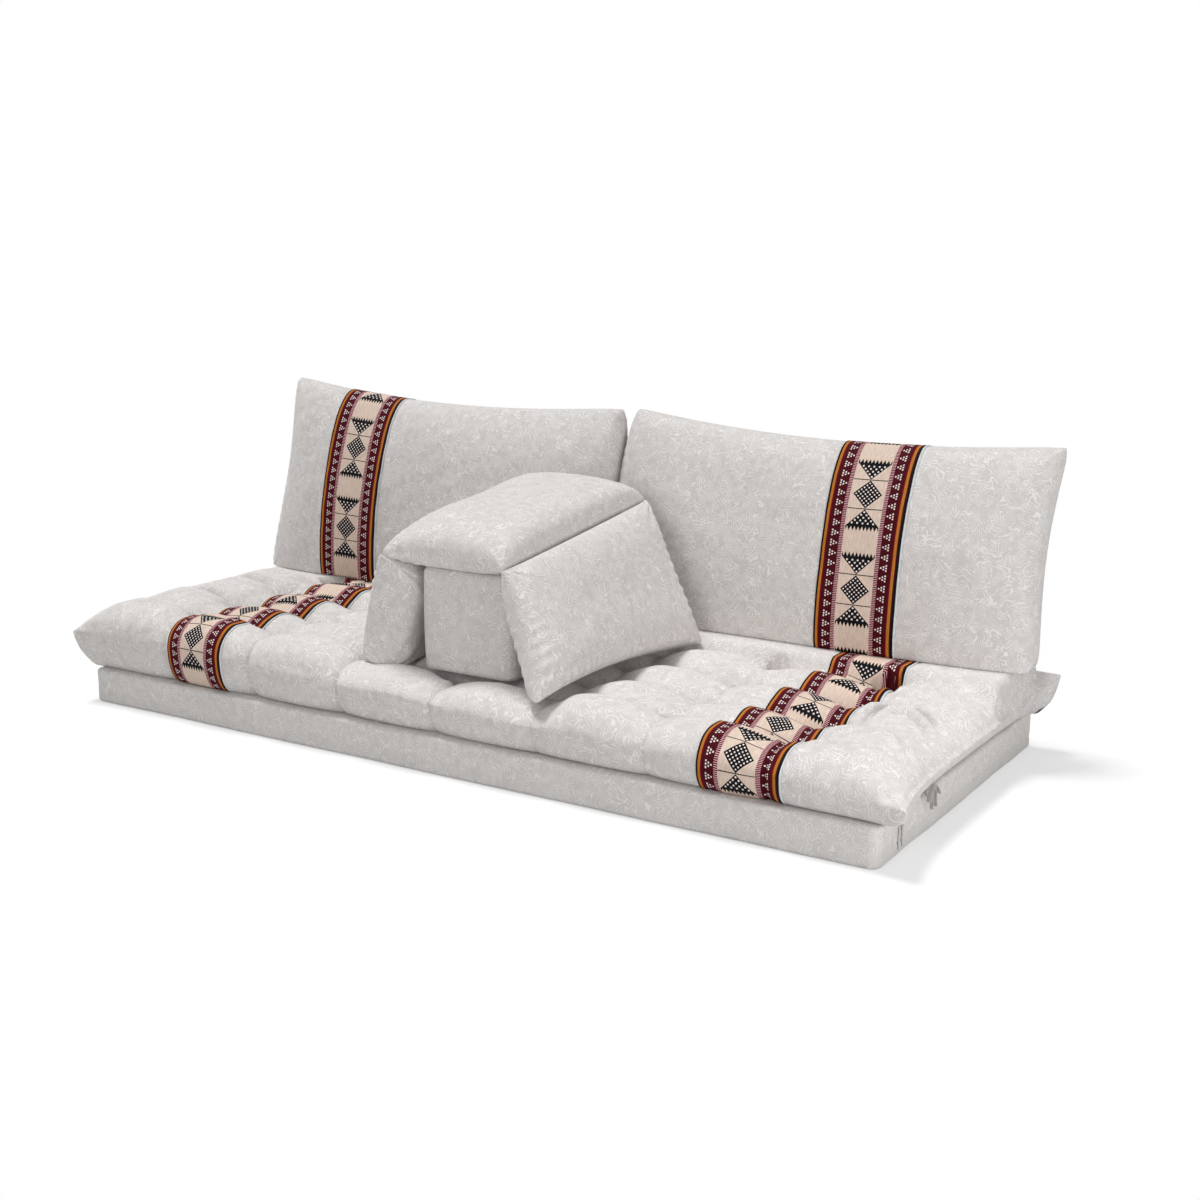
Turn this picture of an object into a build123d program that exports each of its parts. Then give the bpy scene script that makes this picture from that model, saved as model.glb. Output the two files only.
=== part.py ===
from build123d import *
from math import cos, hypot, pi, radians, sin, tan
import os

# The floor sofa lies along X, its front faces -Y, and Z=0 is the floor.

# Sofa, as long and as deep as its mattress, on a base this high.
SOFA_LENGTH = 2090.0
SOFA_DEPTH = 864.0
BASE_HEIGHT = 80.0

# Base slab: foam in a cover whose lower panel turns up round the sides.
BASE_END_SETBACK = 45.0
BASE_FRONT_SETBACK = 4.5
BASE_LENGTH = SOFA_LENGTH - 2 * BASE_END_SETBACK
BASE_DEPTH = SOFA_DEPTH - 2 * BASE_FRONT_SETBACK
BASE_CORNER = 22.0
BASE_TOP_EDGE = 7.0
BASE_BOTTOM_EDGE = 10.0
COVER_WALL = 3.0
BOTTOM_PANEL_RISE = 28.0

# Clearances between a cover and what fills it, and between loose pieces.
FIT_GAP = 0.3

# Mattress: half lengths and depths, the seam line of its ends and its lumps.
SEAT_HALF_LENGTH = SOFA_LENGTH / 2
SEAT_SEAM_HEIGHT = BASE_HEIGHT + 65.0
SEAT_SEAM_TILT = 0.02
SEAT_FRONT_REACH = SOFA_DEPTH / 2
SEAT_EAR_REACH = SEAT_FRONT_REACH + 6.0
SEAT_FOOT_REACH = SEAT_FRONT_REACH - 37.0
SEAT_SHOULDER_REACH = SEAT_FRONT_REACH - 29.0
SEAT_SHOULDER_DROP = 20.0
SEAT_ROLL_REACH = SEAT_FRONT_REACH - 66.0
SEAT_ROLL_DROP = 2.0
SEAT_CREST_MIDDLE = BASE_HEIGHT + 135.0
SEAT_CREST_TILT = 0.03
SEAT_REAR_CREST = BASE_HEIGHT + 129.0
SEAT_REAR_TILT = 0.012
SEAT_REAR_ROW = 3
SEAT_VALLEY_DEPTH = 14.0

# Tufts: columns along the mattress, and rows from its front to its rear.
TUFT_HALF_COLUMNS = 3
TUFT_ROWS = 5
TUFT_SHIFT = 10.0
TUFT_END_MARGIN = 152.5
TUFT_FRONT_MARGIN = 122.0
TUFT_REAR_MARGIN = 130.0
TUFT_PITCH_X = (SEAT_HALF_LENGTH - TUFT_END_MARGIN) / (TUFT_HALF_COLUMNS + 0.5)
TUFT_PITCH_Y = (SOFA_DEPTH - TUFT_FRONT_MARGIN - TUFT_REAR_MARGIN) / (TUFT_ROWS - 1)
TUFT_FIRST_ROW = TUFT_FRONT_MARGIN - SEAT_FRONT_REACH
TUFT_CREST_DROP = 6.0
TUFT_VALLEY_DROP = 12.0
TUFT_FRONT_DRAW = 9.0

# The armrest's weight presses the mattress down around it.
PRESSED_CREST = BASE_HEIGHT + 113.0
PRESS_REACH = 330.0
PRESS_FADE = 110.0
PRESS_ROLL_SHARE = 0.5

# Near each end the mattress thins to its sewn edge, in these shares.
SEAT_END_SETBACKS = (0.0, 14.0, 50.0)
SEAT_END_SHARES = (0.08, 0.55, 0.88)

# Filling of the mattress.
CORE_HALF_LENGTH = SEAT_HALF_LENGTH - 175.0
CORE_HALF_DEPTH = SEAT_FRONT_REACH - 82.0
CORE_BOTTOM = BASE_HEIGHT + 20.0
CORE_TOP = BASE_HEIGHT + 70.0
CORE_CORNER = 40.0

# Stitched tufts in the valleys of the mattress.
STITCH_LENGTH = 16.0
STITCH_WIDTH = 3.0
STITCH_HEIGHT = 2.5
STITCH_LIFT = 1.6

# Woven bands.
BAND_THICKNESS = 1.2
BAND_LIFT = 0.3
SEAT_BAND_WIDTH = 172.0
SEAT_BAND_LEFT = 388.0 - SEAT_HALF_LENGTH
SEAT_BAND_RIGHT = SEAT_HALF_LENGTH - 320.0
BACK_BAND_WIDTH = 187.0
BACK_BAND_LIFT = 0.6

# Back cushions: a pillow in a leaning plane, standing on the mattress.
BACK_HALF_LENGTH = SEAT_HALF_LENGTH / 2 - 6.5
BACK_LEAN = 14.8
BACK_CROWN = 95.0
BACK_BLUNTNESS = 2.5
BACK_SPAN = 245.0
BACK_DRAW_SHARES = (0.0, 0.07, 0.032, 0.07)
BACK_FOOT_EAR = 20.0
BACK_FOOT_SQUASH = 30.0
BACK_FOOT_SHARE = 0.45
BACK_EAR_CUT = 12.0
BACK_CORNER_ROUND = 110.0
BACK_LEVEL_ANGLES = (0.0, 12.0, 27.0, 44.0, 62.0, 80.0)
BACK_FILL_CROWN = 48.0
BACK_FILL_INSET = 70.0
BACK_FILL_FOOT = 60.0

LEFT_BACK_CENTRE = -5.5 - SEAT_HALF_LENGTH / 2
LEFT_BACK_DEPTH = SEAT_FRONT_REACH - 189.0
LEFT_BACK_REST = SEAT_REAR_CREST + 11.0
LEFT_BACK_OUTER_EAR = 510.0
LEFT_BACK_INNER_EAR = 480.0
LEFT_BACK_BAND_CENTRE = 314.0 - BACK_HALF_LENGTH
LEFT_BACK_ZIP_CENTRE = 100.0

RIGHT_BACK_CENTRE = 13.5 + SEAT_HALF_LENGTH / 2
RIGHT_BACK_DEPTH = SEAT_FRONT_REACH - 154.0
RIGHT_BACK_REST = SEAT_REAR_CREST - 1.2
RIGHT_BACK_OUTER_EAR = 468.0
RIGHT_BACK_INNER_EAR = 492.0
RIGHT_BACK_BAND_CENTRE = BACK_HALF_LENGTH / 4
RIGHT_BACK_ZIP_CENTRE = -100.0

# Upright block of the armrest, in foam and cover.
BLOCK_CENTRE_X = 33.0
BLOCK_WIDTH = 236.0
BLOCK_HEIGHT = 220.65
BLOCK_FRONT = 102.0 - SEAT_FRONT_REACH
BLOCK_REAR = RIGHT_BACK_DEPTH - 133.0
BLOCK_REST = PRESSED_CREST + 0.35
BLOCK_TOP = BLOCK_REST + BLOCK_HEIGHT
BLOCK_EDGE = 30.0

# Saddle of three pillows over the block: the top one slopes up to the rear.
PAD_TILT = 7.0
PAD_CENTRE_Y = (BLOCK_FRONT + BLOCK_REAR) / 2 + 7.5
PAD_CENTRE_Z = BLOCK_TOP + 50.0
PAD_HALF_LENGTH = (BLOCK_REAR - BLOCK_FRONT) / 2 + 39.5
PAD_HALF_WIDTH = BLOCK_WIDTH / 2 + 37.0
PAD_UPPER_CROWN = 84.0
PAD_UPPER_BLUNTNESS = 2.2
PAD_LOWER_CROWN = 52.0
PAD_BLUNTNESS = 1.7
PAD_DRAW_SHARES = (0.045, 0.002, 0.045, 0.002)
PAD_EAR_CUT = 8.0
PAD_CORNER_ROUND = 70.0
PAD_LEVEL_ANGLES = (0.0, 20.0, 40.0, 60.0, 79.0)
PAD_FILL_INSET = 62.0
PAD_FILL_CROWN = 20.0
FLAP_START = 0.3
SEAM_AXIS_X = PAD_HALF_WIDTH + FLAP_START
RIGHT_FLAP_ANGLE = 60.0
LEFT_FLAP_ANGLE = 65.0
FLAP_CROWN = 34.0
FLAP_SPAN = 140.0
FLAP_DRAW_SHARES = (0.045, 0.03, 0.045, 0.002)
FLAP_FILL_CROWN = 13.0
FLAP_BLOCK_GAP = 0.5
RIGHT_FLAP_FRONT_DROP = 257.0
RIGHT_FLAP_FRONT_REACH = PAD_HALF_LENGTH + 88.0
RIGHT_FLAP_REAR_DROP = 338.0
RIGHT_FLAP_REAR_REACH = PAD_HALF_LENGTH - 72.0
RIGHT_FLAP_REST = PRESSED_CREST + 4.0
LEFT_FLAP_FRONT_DROP = 237.0
LEFT_FLAP_FRONT_REACH = PAD_HALF_LENGTH + 13.0
LEFT_FLAP_REAR_DROP = 302.0
LEFT_FLAP_REAR_REACH = PAD_HALF_LENGTH - 87.0
LEFT_FLAP_REST = SEAT_CREST_MIDDLE - 0.5

# Zips: a coil on a tape, and a slider with its pull.
TAPE_WIDTH = 26.0
TAPE_THICKNESS = 0.8
COIL_WIDTH = 6.0
COIL_HEIGHT = 1.6
SLIDER_LENGTH = 13.0
SLIDER_WIDTH = 11.0
SLIDER_HEIGHT = 3.0
SLIDER_GAP = 0.3
PULL_LENGTH = 26.0
PULL_WIDTH = 6.0
PULL_THICKNESS = 1.6
BASE_ZIP_LENGTH = BASE_LENGTH - 360.0
BASE_ZIP_HEIGHT = BASE_HEIGHT - 22.0
BACK_ZIP_LENGTH = 440.0
BACK_ZIP_FOOT = 190.0

# Ribbons that tie the mattress to the base at its ends.
TIE_WIDTH = 9.0
TIE_THICKNESS = 1.4
TIE_KNOT_RADIUS = 8.0
TIE_KNOT_SIDES = 8
TIE_KNOT_TAPER = 20.0
TIE_TOP = BASE_HEIGHT + 6.5
TIE_LOOP_SETBACK = 222.5
TIE_TAIL_SETBACKS = (93.5, 109.5)
TIE_LOOP_BOTTOM = BASE_HEIGHT - 22.0
TIE_TAIL_BOTTOM = 12.0


# Where the straight runs of a rounded side or lump meet, as shares of its length.
ARC_STEPS = (0.25, 0.5, 0.75)
SIDE_STEPS = (0.0, 0.12, 0.3, 0.5, 0.7, 0.88, 1.0)
CORNER_STEPS = (0.25, 0.5, 0.75)


# Shape helpers

def blend(first, last, share):
    """Point or number part of the way from first to last."""
    if isinstance(first, tuple):
        return tuple(blend(a, b, share) for a, b in zip(first, last))
    return first + (last - first) * share


def seat_stations():
    """X of the mattress's cross sections, with their share of full thickness."""
    halves = range(-2 * TUFT_HALF_COLUMNS - 1, 2 * TUFT_HALF_COLUMNS + 2)
    full = [(TUFT_SHIFT + k * TUFT_PITCH_X / 2, 1.0) for k in halves]
    ends = list(zip(SEAT_END_SETBACKS, SEAT_END_SHARES))
    left = [(back - SEAT_HALF_LENGTH, share) for back, share in ends]
    right = [(SEAT_HALF_LENGTH - back, share) for back, share in reversed(ends)]
    return left + full + right


def seat_seam(x):
    """Height of the seam line that parts the mattress's top from its underside."""
    return SEAT_SEAM_HEIGHT - SEAT_SEAM_TILT * x


def seat_station_points(x, share):
    """Arc ends and arc middles of one mattress section, front foot to rear foot."""
    pull = (1 + cos(2 * pi * (x - TUFT_SHIFT) / TUFT_PITCH_X)) / 2
    if abs(x - TUFT_SHIFT) > (TUFT_HALF_COLUMNS + 0.25) * TUFT_PITCH_X:
        pull = 0.0
    press = (PRESS_REACH - abs(x - BLOCK_CENTRE_X)) / PRESS_FADE
    press = min(max(press, 0.0), 1.0)
    seam = seat_seam(x)
    free = SEAT_CREST_MIDDLE - SEAT_CREST_TILT * x
    crest = blend(free, PRESSED_CREST, press)
    rear_crest = SEAT_REAR_CREST - SEAT_REAR_TILT * x
    roll = blend(free, PRESSED_CREST, press * PRESS_ROLL_SHARE) - SEAT_ROLL_DROP
    lump_drop = TUFT_CREST_DROP * pull
    valley_drop = SEAT_VALLEY_DEPTH + TUFT_VALLEY_DROP * pull

    def level(height):
        return seam + (height - seam) * share

    reach = blend(SEAT_EAR_REACH, SEAT_FRONT_REACH, share) - TUFT_FRONT_DRAW * pull
    foot = blend(SEAT_EAR_REACH, SEAT_FOOT_REACH, share)
    side = blend(SEAT_EAR_REACH, SEAT_SHOULDER_REACH, share)
    points = [(-foot, level(BASE_HEIGHT)), (-reach, seam)]
    points += [(-side, level(roll - SEAT_SHOULDER_DROP))]
    points += [(-SEAT_ROLL_REACH, level(roll - lump_drop / 2))]
    for row in range(TUFT_ROWS):
        y = TUFT_FIRST_ROW + row * TUFT_PITCH_Y
        top = crest if row < SEAT_REAR_ROW else rear_crest
        dip = min(crest, rear_crest) if row == SEAT_REAR_ROW else top
        points.append((y, level(dip - valley_drop)))
        if row < TUFT_ROWS - 1:
            points.append((y + TUFT_PITCH_Y / 2, level(top - lump_drop)))
    points += [(SEAT_ROLL_REACH, level(rear_crest - lump_drop / 2))]
    points += [(side, level(rear_crest - SEAT_SHOULDER_DROP))]
    points += [(reach, seam), (foot, level(BASE_HEIGHT))]
    return points


def seat_points(x):
    """Section points at any x, straight between the two nearest stations."""
    stations = seat_stations()
    for (x0, share0), (x1, share1) in zip(stations, stations[1:]):
        if x0 <= x <= x1:
            start = seat_station_points(x0, share0)
            end = seat_station_points(x1, share1)
            share = (x - x0) / (x1 - x0)
            return [blend(a, b, share) for a, b in zip(start, end)]
    raise ValueError("x is off the mattress")


def raised(points, lift):
    """The same section points, moved out of the mattress by a lift."""
    last = len(points) - 1
    out = []
    for i, (y, z) in enumerate(points):
        side = -1 if i <= last / 2 else 1
        if i in (0, 1, last - 1, last):
            out.append((y + side * lift, z))
        elif i in (2, last - 2):
            out.append((y + side * lift * cos(pi / 4), z + lift * cos(pi / 4)))
        else:
            out.append((y, z + lift))
    return out


def rounded_section(points):
    """Points of straight runs that follow the arcs through every second point."""
    line = [points[0]]
    for i in range(0, len(points) - 2, 2):
        start, middle, end = points[i:i + 3]
        chord = blend(start, end, 0.5)
        rise = (middle[0] - chord[0], middle[1] - chord[1])
        for share in ARC_STEPS:
            along = blend(start, end, share)
            lift = 1 - (2 * share - 1) ** 2
            line.append((along[0] + rise[0] * lift, along[1] + rise[1] * lift))
        line.append(end)
    return line


def crossing(p, along, q, across):
    """Where the line through p meets the line through q."""
    turn = along[0] * across[1] - along[1] * across[0]
    reach = ((q[0] - p[0]) * across[1] - (q[1] - p[1]) * across[0]) / turn
    return (p[0] + along[0] * reach, p[1] + along[1] * reach)


def toward(p, q, distance):
    """Point at a distance from p on the way to q."""
    span = hypot(q[0] - p[0], q[1] - p[1])
    return blend(p, q, distance / span)


def drawn_in(corners, insets):
    """Corners of a counterclockwise outline whose sides move in by their insets."""
    lines = []
    for i, inset in enumerate(insets):
        p, q = corners[i], corners[(i + 1) % len(corners)]
        span = hypot(q[0] - p[0], q[1] - p[1])
        along = ((q[0] - p[0]) / span, (q[1] - p[1]) / span)
        lines.append(((p[0] - along[1] * inset, p[1] + along[0] * inset), along))
    return [crossing(*lines[i - 1], *lines[i]) for i in range(len(lines))]


def cushion_outline(corners, cut, draw_shares):
    """Closed outline of straight runs: sides drawn in by a share, corners rounded."""
    count = len(corners)
    line = []
    for i in range(count):
        here, after = corners[i], corners[(i + 1) % count]
        start, end = toward(here, after, cut), toward(after, here, cut)
        span = hypot(end[0] - start[0], end[1] - start[1])
        inward = (-(end[1] - start[1]) / span, (end[0] - start[0]) / span)
        for share in SIDE_STEPS:
            along = blend(start, end, share)
            draw = span * draw_shares[i] * (1 - (2 * share - 1) ** 2)
            line.append((along[0] + inward[0] * draw, along[1] + inward[1] * draw))
        beyond = toward(after, corners[(i + 2) % count], cut)
        for share in CORNER_STEPS:
            line.append(blend(blend(end, after, share), blend(after, beyond, share), share))
    Polyline(*line, close=True)


def flat_faced(form):
    """The same form with a plane for each of its faces that is flat."""
    faces = []
    for face in form.faces():
        if face.is_planar:
            face = Face(face.outer_wire(), face.inner_wires())
        faces.append(face)
    return Solid(Shell(faces))


def pillow_level(angle, crown, span, bluntness):
    """Height above the seam and distance in from it, on a blunt crown's curve."""
    height = crown * sin(radians(angle)) ** (2 / bluntness)
    inset = span * (1 - cos(radians(angle)) ** (2 / bluntness))
    return height, inset


def shortest_side(corners):
    """Length of an outline's shortest side."""
    pairs = zip(corners, corners[1:] + corners[:1])
    return min(hypot(q[0] - p[0], q[1] - p[1]) for p, q in pairs)


def seam_cut(angle, ear_cut, corner_round, corners):
    """Corner cut of a level: small at the ears, rounder towards the crown."""
    return min(ear_cut + corner_round * sin(radians(angle)), 0.42 * shortest_side(corners))


# Base

with BuildPart() as base_foam:
    inset = 2 * (COVER_WALL + FIT_GAP)
    with BuildSketch(Plane.XY.offset(COVER_WALL)):
        RectangleRounded(BASE_LENGTH - inset, BASE_DEPTH - inset, BASE_CORNER - inset / 2)
    extrude(amount=BASE_HEIGHT - 2 * COVER_WALL)

with BuildPart() as base_cover:
    with BuildSketch(Plane.XY.offset(BOTTOM_PANEL_RISE)):
        RectangleRounded(BASE_LENGTH, BASE_DEPTH, BASE_CORNER)
    extrude(amount=BASE_HEIGHT - BOTTOM_PANEL_RISE)
    fillet(base_cover.faces().sort_by(Axis.Z)[-1].edges(), BASE_TOP_EDGE)
    with BuildSketch(Plane.XY.offset(BOTTOM_PANEL_RISE)):
        RectangleRounded(
            BASE_LENGTH - 2 * COVER_WALL,
            BASE_DEPTH - 2 * COVER_WALL,
            BASE_CORNER - COVER_WALL,
        )
    extrude(amount=BASE_HEIGHT - BOTTOM_PANEL_RISE - COVER_WALL, mode=Mode.SUBTRACT)

with BuildPart() as base_bottom_panel:
    with BuildSketch():
        RectangleRounded(BASE_LENGTH, BASE_DEPTH, BASE_CORNER)
    extrude(amount=BOTTOM_PANEL_RISE)
    fillet(base_bottom_panel.faces().sort_by(Axis.Z)[0].edges(), BASE_BOTTOM_EDGE)
    with BuildSketch(Plane.XY.offset(COVER_WALL)):
        RectangleRounded(
            BASE_LENGTH - 2 * COVER_WALL,
            BASE_DEPTH - 2 * COVER_WALL,
            BASE_CORNER - COVER_WALL,
        )
    extrude(amount=BOTTOM_PANEL_RISE - COVER_WALL, mode=Mode.SUBTRACT)

# Mattress: one lumpy form, parted at the seam line into quilted top and underside

with BuildPart() as seat_form:
    for station, fullness in seat_stations():
        with BuildSketch(Plane.YZ.offset(station)):
            with BuildLine():
                section = seat_station_points(station, fullness)
                Polyline(*rounded_section(section), close=True)
            make_face()
    loft(ruled=True)

with BuildPart() as seat_core:
    with BuildSketch(Plane.XY.offset(CORE_BOTTOM)):
        Rectangle(2 * CORE_HALF_LENGTH, 2 * CORE_HALF_DEPTH)
    extrude(amount=CORE_TOP - CORE_BOTTOM)
    chamfer(seat_core.edges().filter_by(Axis.Z), CORE_CORNER)

seam_plane = Plane(
    origin=(0, 0, SEAT_SEAM_HEIGHT),
    x_dir=(1, 0, -SEAT_SEAM_TILT),
    z_dir=(SEAT_SEAM_TILT, 0, 1),
)

with BuildPart() as seat_cover_top:
    add(seat_form.part)
    split(bisect_by=seam_plane, keep=Keep.TOP)
    add(seat_core.part, mode=Mode.SUBTRACT)

with BuildPart() as seat_cover_bottom:
    add(seat_form.part)
    split(bisect_by=seam_plane, keep=Keep.BOTTOM)
    add(seat_core.part, mode=Mode.SUBTRACT)

with BuildPart() as seat_tufts:
    for column in range(-TUFT_HALF_COLUMNS, TUFT_HALF_COLUMNS + 1):
        column_x = TUFT_SHIFT + column * TUFT_PITCH_X
        lift = STITCH_LIFT
        if abs(column_x - SEAT_BAND_RIGHT) < SEAT_BAND_WIDTH / 2:
            lift += BAND_LIFT + BAND_THICKNESS
        ends = [seat_points(column_x + side * STITCH_LENGTH / 2)[4:-4:2] for side in (-1, 1)]
        for (y, left_pit), (y, right_pit) in zip(*ends):
            behind = STITCH_WIDTH / 2 if y == TUFT_FIRST_ROW else 0
            with BuildSketch(Plane.XY.offset(max(left_pit, right_pit) + lift)):
                with Locations((column_x, y + behind)):
                    Rectangle(STITCH_LENGTH, STITCH_WIDTH)
            extrude(amount=STITCH_HEIGHT)


def seat_band(centre):
    """A woven band laid over the mattress from its front foot to its rear foot."""
    edges = (centre - SEAT_BAND_WIDTH / 2, centre + SEAT_BAND_WIDTH / 2)
    inner = [x for x, share in seat_stations() if edges[0] < x < edges[1]]
    with BuildPart() as band:
        for x in (edges[0], *inner, edges[1]):
            below = rounded_section(raised(seat_points(x), BAND_LIFT))
            above = rounded_section(raised(seat_points(x), BAND_LIFT + BAND_THICKNESS))
            with BuildSketch(Plane.YZ.offset(x)):
                with BuildLine():
                    Polyline(*below, *reversed(above), close=True)
                make_face()
        loft(ruled=True)
    return band


seat_band_left = seat_band(SEAT_BAND_LEFT)
seat_band_right = seat_band(SEAT_BAND_RIGHT)


# Back cushions

def back_plane(centre, depth, rest):
    """Leaning seam plane of a back cushion: x along it, y up it, z to the front."""
    lean = radians(BACK_LEAN)
    return Plane(
        origin=(centre, depth, rest),
        x_dir=(1, 0, 0),
        z_dir=(0, -cos(lean), sin(lean)),
    )


def back_level(angle, side, left_ear, right_ear, lift):
    """Height off the seam plane and the outline there, as corners and their cut."""
    height, inset = pillow_level(angle, BACK_CROWN, BACK_SPAN, BACK_BLUNTNESS)
    foot = BACK_FOOT_EAR
    if angle > 0:
        foot = BACK_FOOT_SHARE * inset - BACK_FOOT_SQUASH
        foot -= side * height * tan(radians(BACK_LEAN))
        height += lift
    edge = BACK_HALF_LENGTH
    corners = [(-edge, foot), (edge, foot), (edge, right_ear), (-edge, left_ear)]
    corners = drawn_in(corners, (-lift, inset - lift, inset - lift, inset - lift))
    cut = seam_cut(angle, BACK_EAR_CUT, BACK_CORNER_ROUND, corners)
    return side * height, corners, cut


def back_half(plane, side, left_ear, right_ear, rest, lift=0.0):
    """Front or rear half of a back cushion's form, grown by a lift, standing on rest."""
    with BuildPart() as half:
        for angle in BACK_LEVEL_ANGLES:
            height, corners, cut = back_level(angle, side, left_ear, right_ear, lift)
            with BuildSketch(plane.offset(height)):
                with BuildLine():
                    cushion_outline(corners, cut, BACK_DRAW_SHARES)
                make_face()
        loft(ruled=True)
        add(flat_faced(half.part), mode=Mode.REPLACE)
        split(bisect_by=Plane.XY.offset(rest), keep=Keep.TOP)
    return half


def back_panel(plane, side, left_ear, right_ear, rest, filling):
    """Front or rear panel of a back cushion, with its wadding."""
    form = back_half(plane, side, left_ear, right_ear, rest)
    with BuildPart() as panel:
        add(form.part)
        add(filling.part, mode=Mode.SUBTRACT)
    return panel


def back_filling(plane, left_ear, right_ear):
    """Fibre filling inside a back cushion."""
    edge = BACK_HALF_LENGTH
    corners = [(-edge, BACK_FILL_FOOT), (edge, BACK_FILL_FOOT)]
    corners += [(edge, right_ear), (-edge, left_ear)]
    inset = BACK_FILL_INSET
    corners = drawn_in(corners, (0, inset, inset, inset))
    with BuildPart() as filling:
        with BuildSketch(plane.offset(-BACK_FILL_CROWN)):
            with BuildLine():
                Polyline(*corners, close=True)
            make_face()
        extrude(amount=2 * BACK_FILL_CROWN)
    return filling


def back_band(plane, left_ear, right_ear, rest, centre):
    """A woven band sewn on a back cushion's front, from its foot to its top seam."""
    ears = (left_ear, right_ear)
    below = back_half(plane, 1, *ears, rest + FIT_GAP, BACK_BAND_LIFT)
    above = back_half(plane, 1, *ears, rest + FIT_GAP, BACK_BAND_LIFT + BAND_THICKNESS)
    with BuildPart() as shell:
        add(above.part)
        add(below.part, mode=Mode.SUBTRACT)
        for side in (-1, 1):
            edge = plane.origin.X + centre + side * BACK_BAND_WIDTH / 2
            keep = Keep.TOP if side < 0 else Keep.BOTTOM
            split(bisect_by=Plane.YZ.offset(edge), keep=keep)
        split(bisect_by=plane.offset(FIT_GAP), keep=Keep.TOP)
    with BuildPart() as band:
        add(shell.solids().sort_by(SortBy.VOLUME)[-1])
    return band


def zip_tape(plane, length):
    """Zip tape with its coil standing along the middle, lying on a plane."""
    with BuildPart() as tape:
        with BuildSketch(plane):
            Rectangle(length, TAPE_WIDTH)
        extrude(amount=TAPE_THICKNESS)
        with BuildSketch(plane.offset(TAPE_THICKNESS)):
            Rectangle(length, COIL_WIDTH)
        extrude(amount=COIL_HEIGHT)
    return tape


def zip_slider(plane, length):
    """Slider at the closed end of a zip, riding over the coil, with a hanging pull."""
    floor = TAPE_THICKNESS + SLIDER_GAP
    roof = TAPE_THICKNESS + COIL_HEIGHT + SLIDER_GAP
    start = SLIDER_LENGTH - length / 2
    with BuildPart() as slider:
        with BuildSketch(plane.offset(floor)):
            with Locations((start, 0)):
                Rectangle(SLIDER_LENGTH, SLIDER_WIDTH)
        extrude(amount=roof - floor + SLIDER_HEIGHT)
        with BuildSketch(plane.offset(floor)):
            with Locations((start, 0)):
                Rectangle(SLIDER_LENGTH, COIL_WIDTH + 2 * SLIDER_GAP)
        extrude(amount=roof - floor, mode=Mode.SUBTRACT)
        with BuildSketch(plane.offset(roof + SLIDER_HEIGHT)):
            with Locations((start, (SLIDER_WIDTH / 2 - PULL_LENGTH) / 2)):
                RectangleRounded(PULL_WIDTH, PULL_LENGTH, PULL_WIDTH / 3)
        extrude(amount=PULL_THICKNESS)
    return slider


def back_cushion(centre, depth, rest, left_ear, right_ear, band_centre, zip_centre):
    """Every piece of one back cushion: two panels, filling, band, zip tape, slider."""
    plane = back_plane(centre, depth, rest)
    filling = back_filling(plane, left_ear, right_ear)
    front = back_panel(plane, 1, left_ear, right_ear, rest, filling)
    rear = back_panel(plane, -1, left_ear, right_ear, rest, filling)
    band = back_band(plane, left_ear, right_ear, rest, band_centre)
    crown = back_level(BACK_LEVEL_ANGLES[-1], -1, left_ear, right_ear, 0.0)[0]
    lean = radians(BACK_LEAN)
    zip_plane = Plane(
        origin=plane.from_local_coords((zip_centre, BACK_ZIP_FOOT, crown)),
        x_dir=(-1, 0, 0),
        z_dir=(0, cos(lean), -sin(lean)),
    )
    tape = zip_tape(zip_plane, BACK_ZIP_LENGTH)
    slider = zip_slider(zip_plane, BACK_ZIP_LENGTH)
    return front, rear, filling, band, tape, slider


left_back = back_cushion(
    LEFT_BACK_CENTRE,
    LEFT_BACK_DEPTH,
    LEFT_BACK_REST,
    LEFT_BACK_OUTER_EAR,
    LEFT_BACK_INNER_EAR,
    LEFT_BACK_BAND_CENTRE,
    LEFT_BACK_ZIP_CENTRE,
)
right_back = back_cushion(
    RIGHT_BACK_CENTRE,
    RIGHT_BACK_DEPTH,
    RIGHT_BACK_REST,
    RIGHT_BACK_INNER_EAR,
    RIGHT_BACK_OUTER_EAR,
    RIGHT_BACK_BAND_CENTRE,
    RIGHT_BACK_ZIP_CENTRE,
)

# Zip of the base cover, in its rear side

base_zip_plane = Plane(
    origin=(0, BASE_DEPTH / 2, BASE_ZIP_HEIGHT),
    x_dir=(-1, 0, 0),
    z_dir=(0, 1, 0),
)
base_zip_tape = zip_tape(base_zip_plane, BASE_ZIP_LENGTH)
base_zip_slider = zip_slider(base_zip_plane, BASE_ZIP_LENGTH)

# Armrest block

block_depth = BLOCK_REAR - BLOCK_FRONT
block_middle = (BLOCK_REAR + BLOCK_FRONT) / 2

with BuildPart() as arm_block_foam:
    inset = COVER_WALL + FIT_GAP
    with BuildSketch(Plane.XY.offset(BLOCK_REST + COVER_WALL)):
        with Locations((BLOCK_CENTRE_X, block_middle)):
            RectangleRounded(BLOCK_WIDTH - 2 * inset, block_depth - 2 * inset, BLOCK_EDGE - inset)
    extrude(amount=BLOCK_TOP - BLOCK_REST - 2 * COVER_WALL)
    chamfer(arm_block_foam.faces().sort_by(Axis.Z)[-1].edges(), BLOCK_EDGE / 2)

with BuildPart() as arm_block_cover:
    with BuildSketch(Plane.XY.offset(BLOCK_REST)):
        with Locations((BLOCK_CENTRE_X, block_middle)):
            RectangleRounded(BLOCK_WIDTH, block_depth, BLOCK_EDGE)
    extrude(amount=BLOCK_TOP - BLOCK_REST)
    fillet(arm_block_cover.faces().sort_by(Axis.Z)[-1].edges(), BLOCK_EDGE / 2)
    add(arm_block_foam.part, mode=Mode.SUBTRACT)


# Saddle of three pillows

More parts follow.
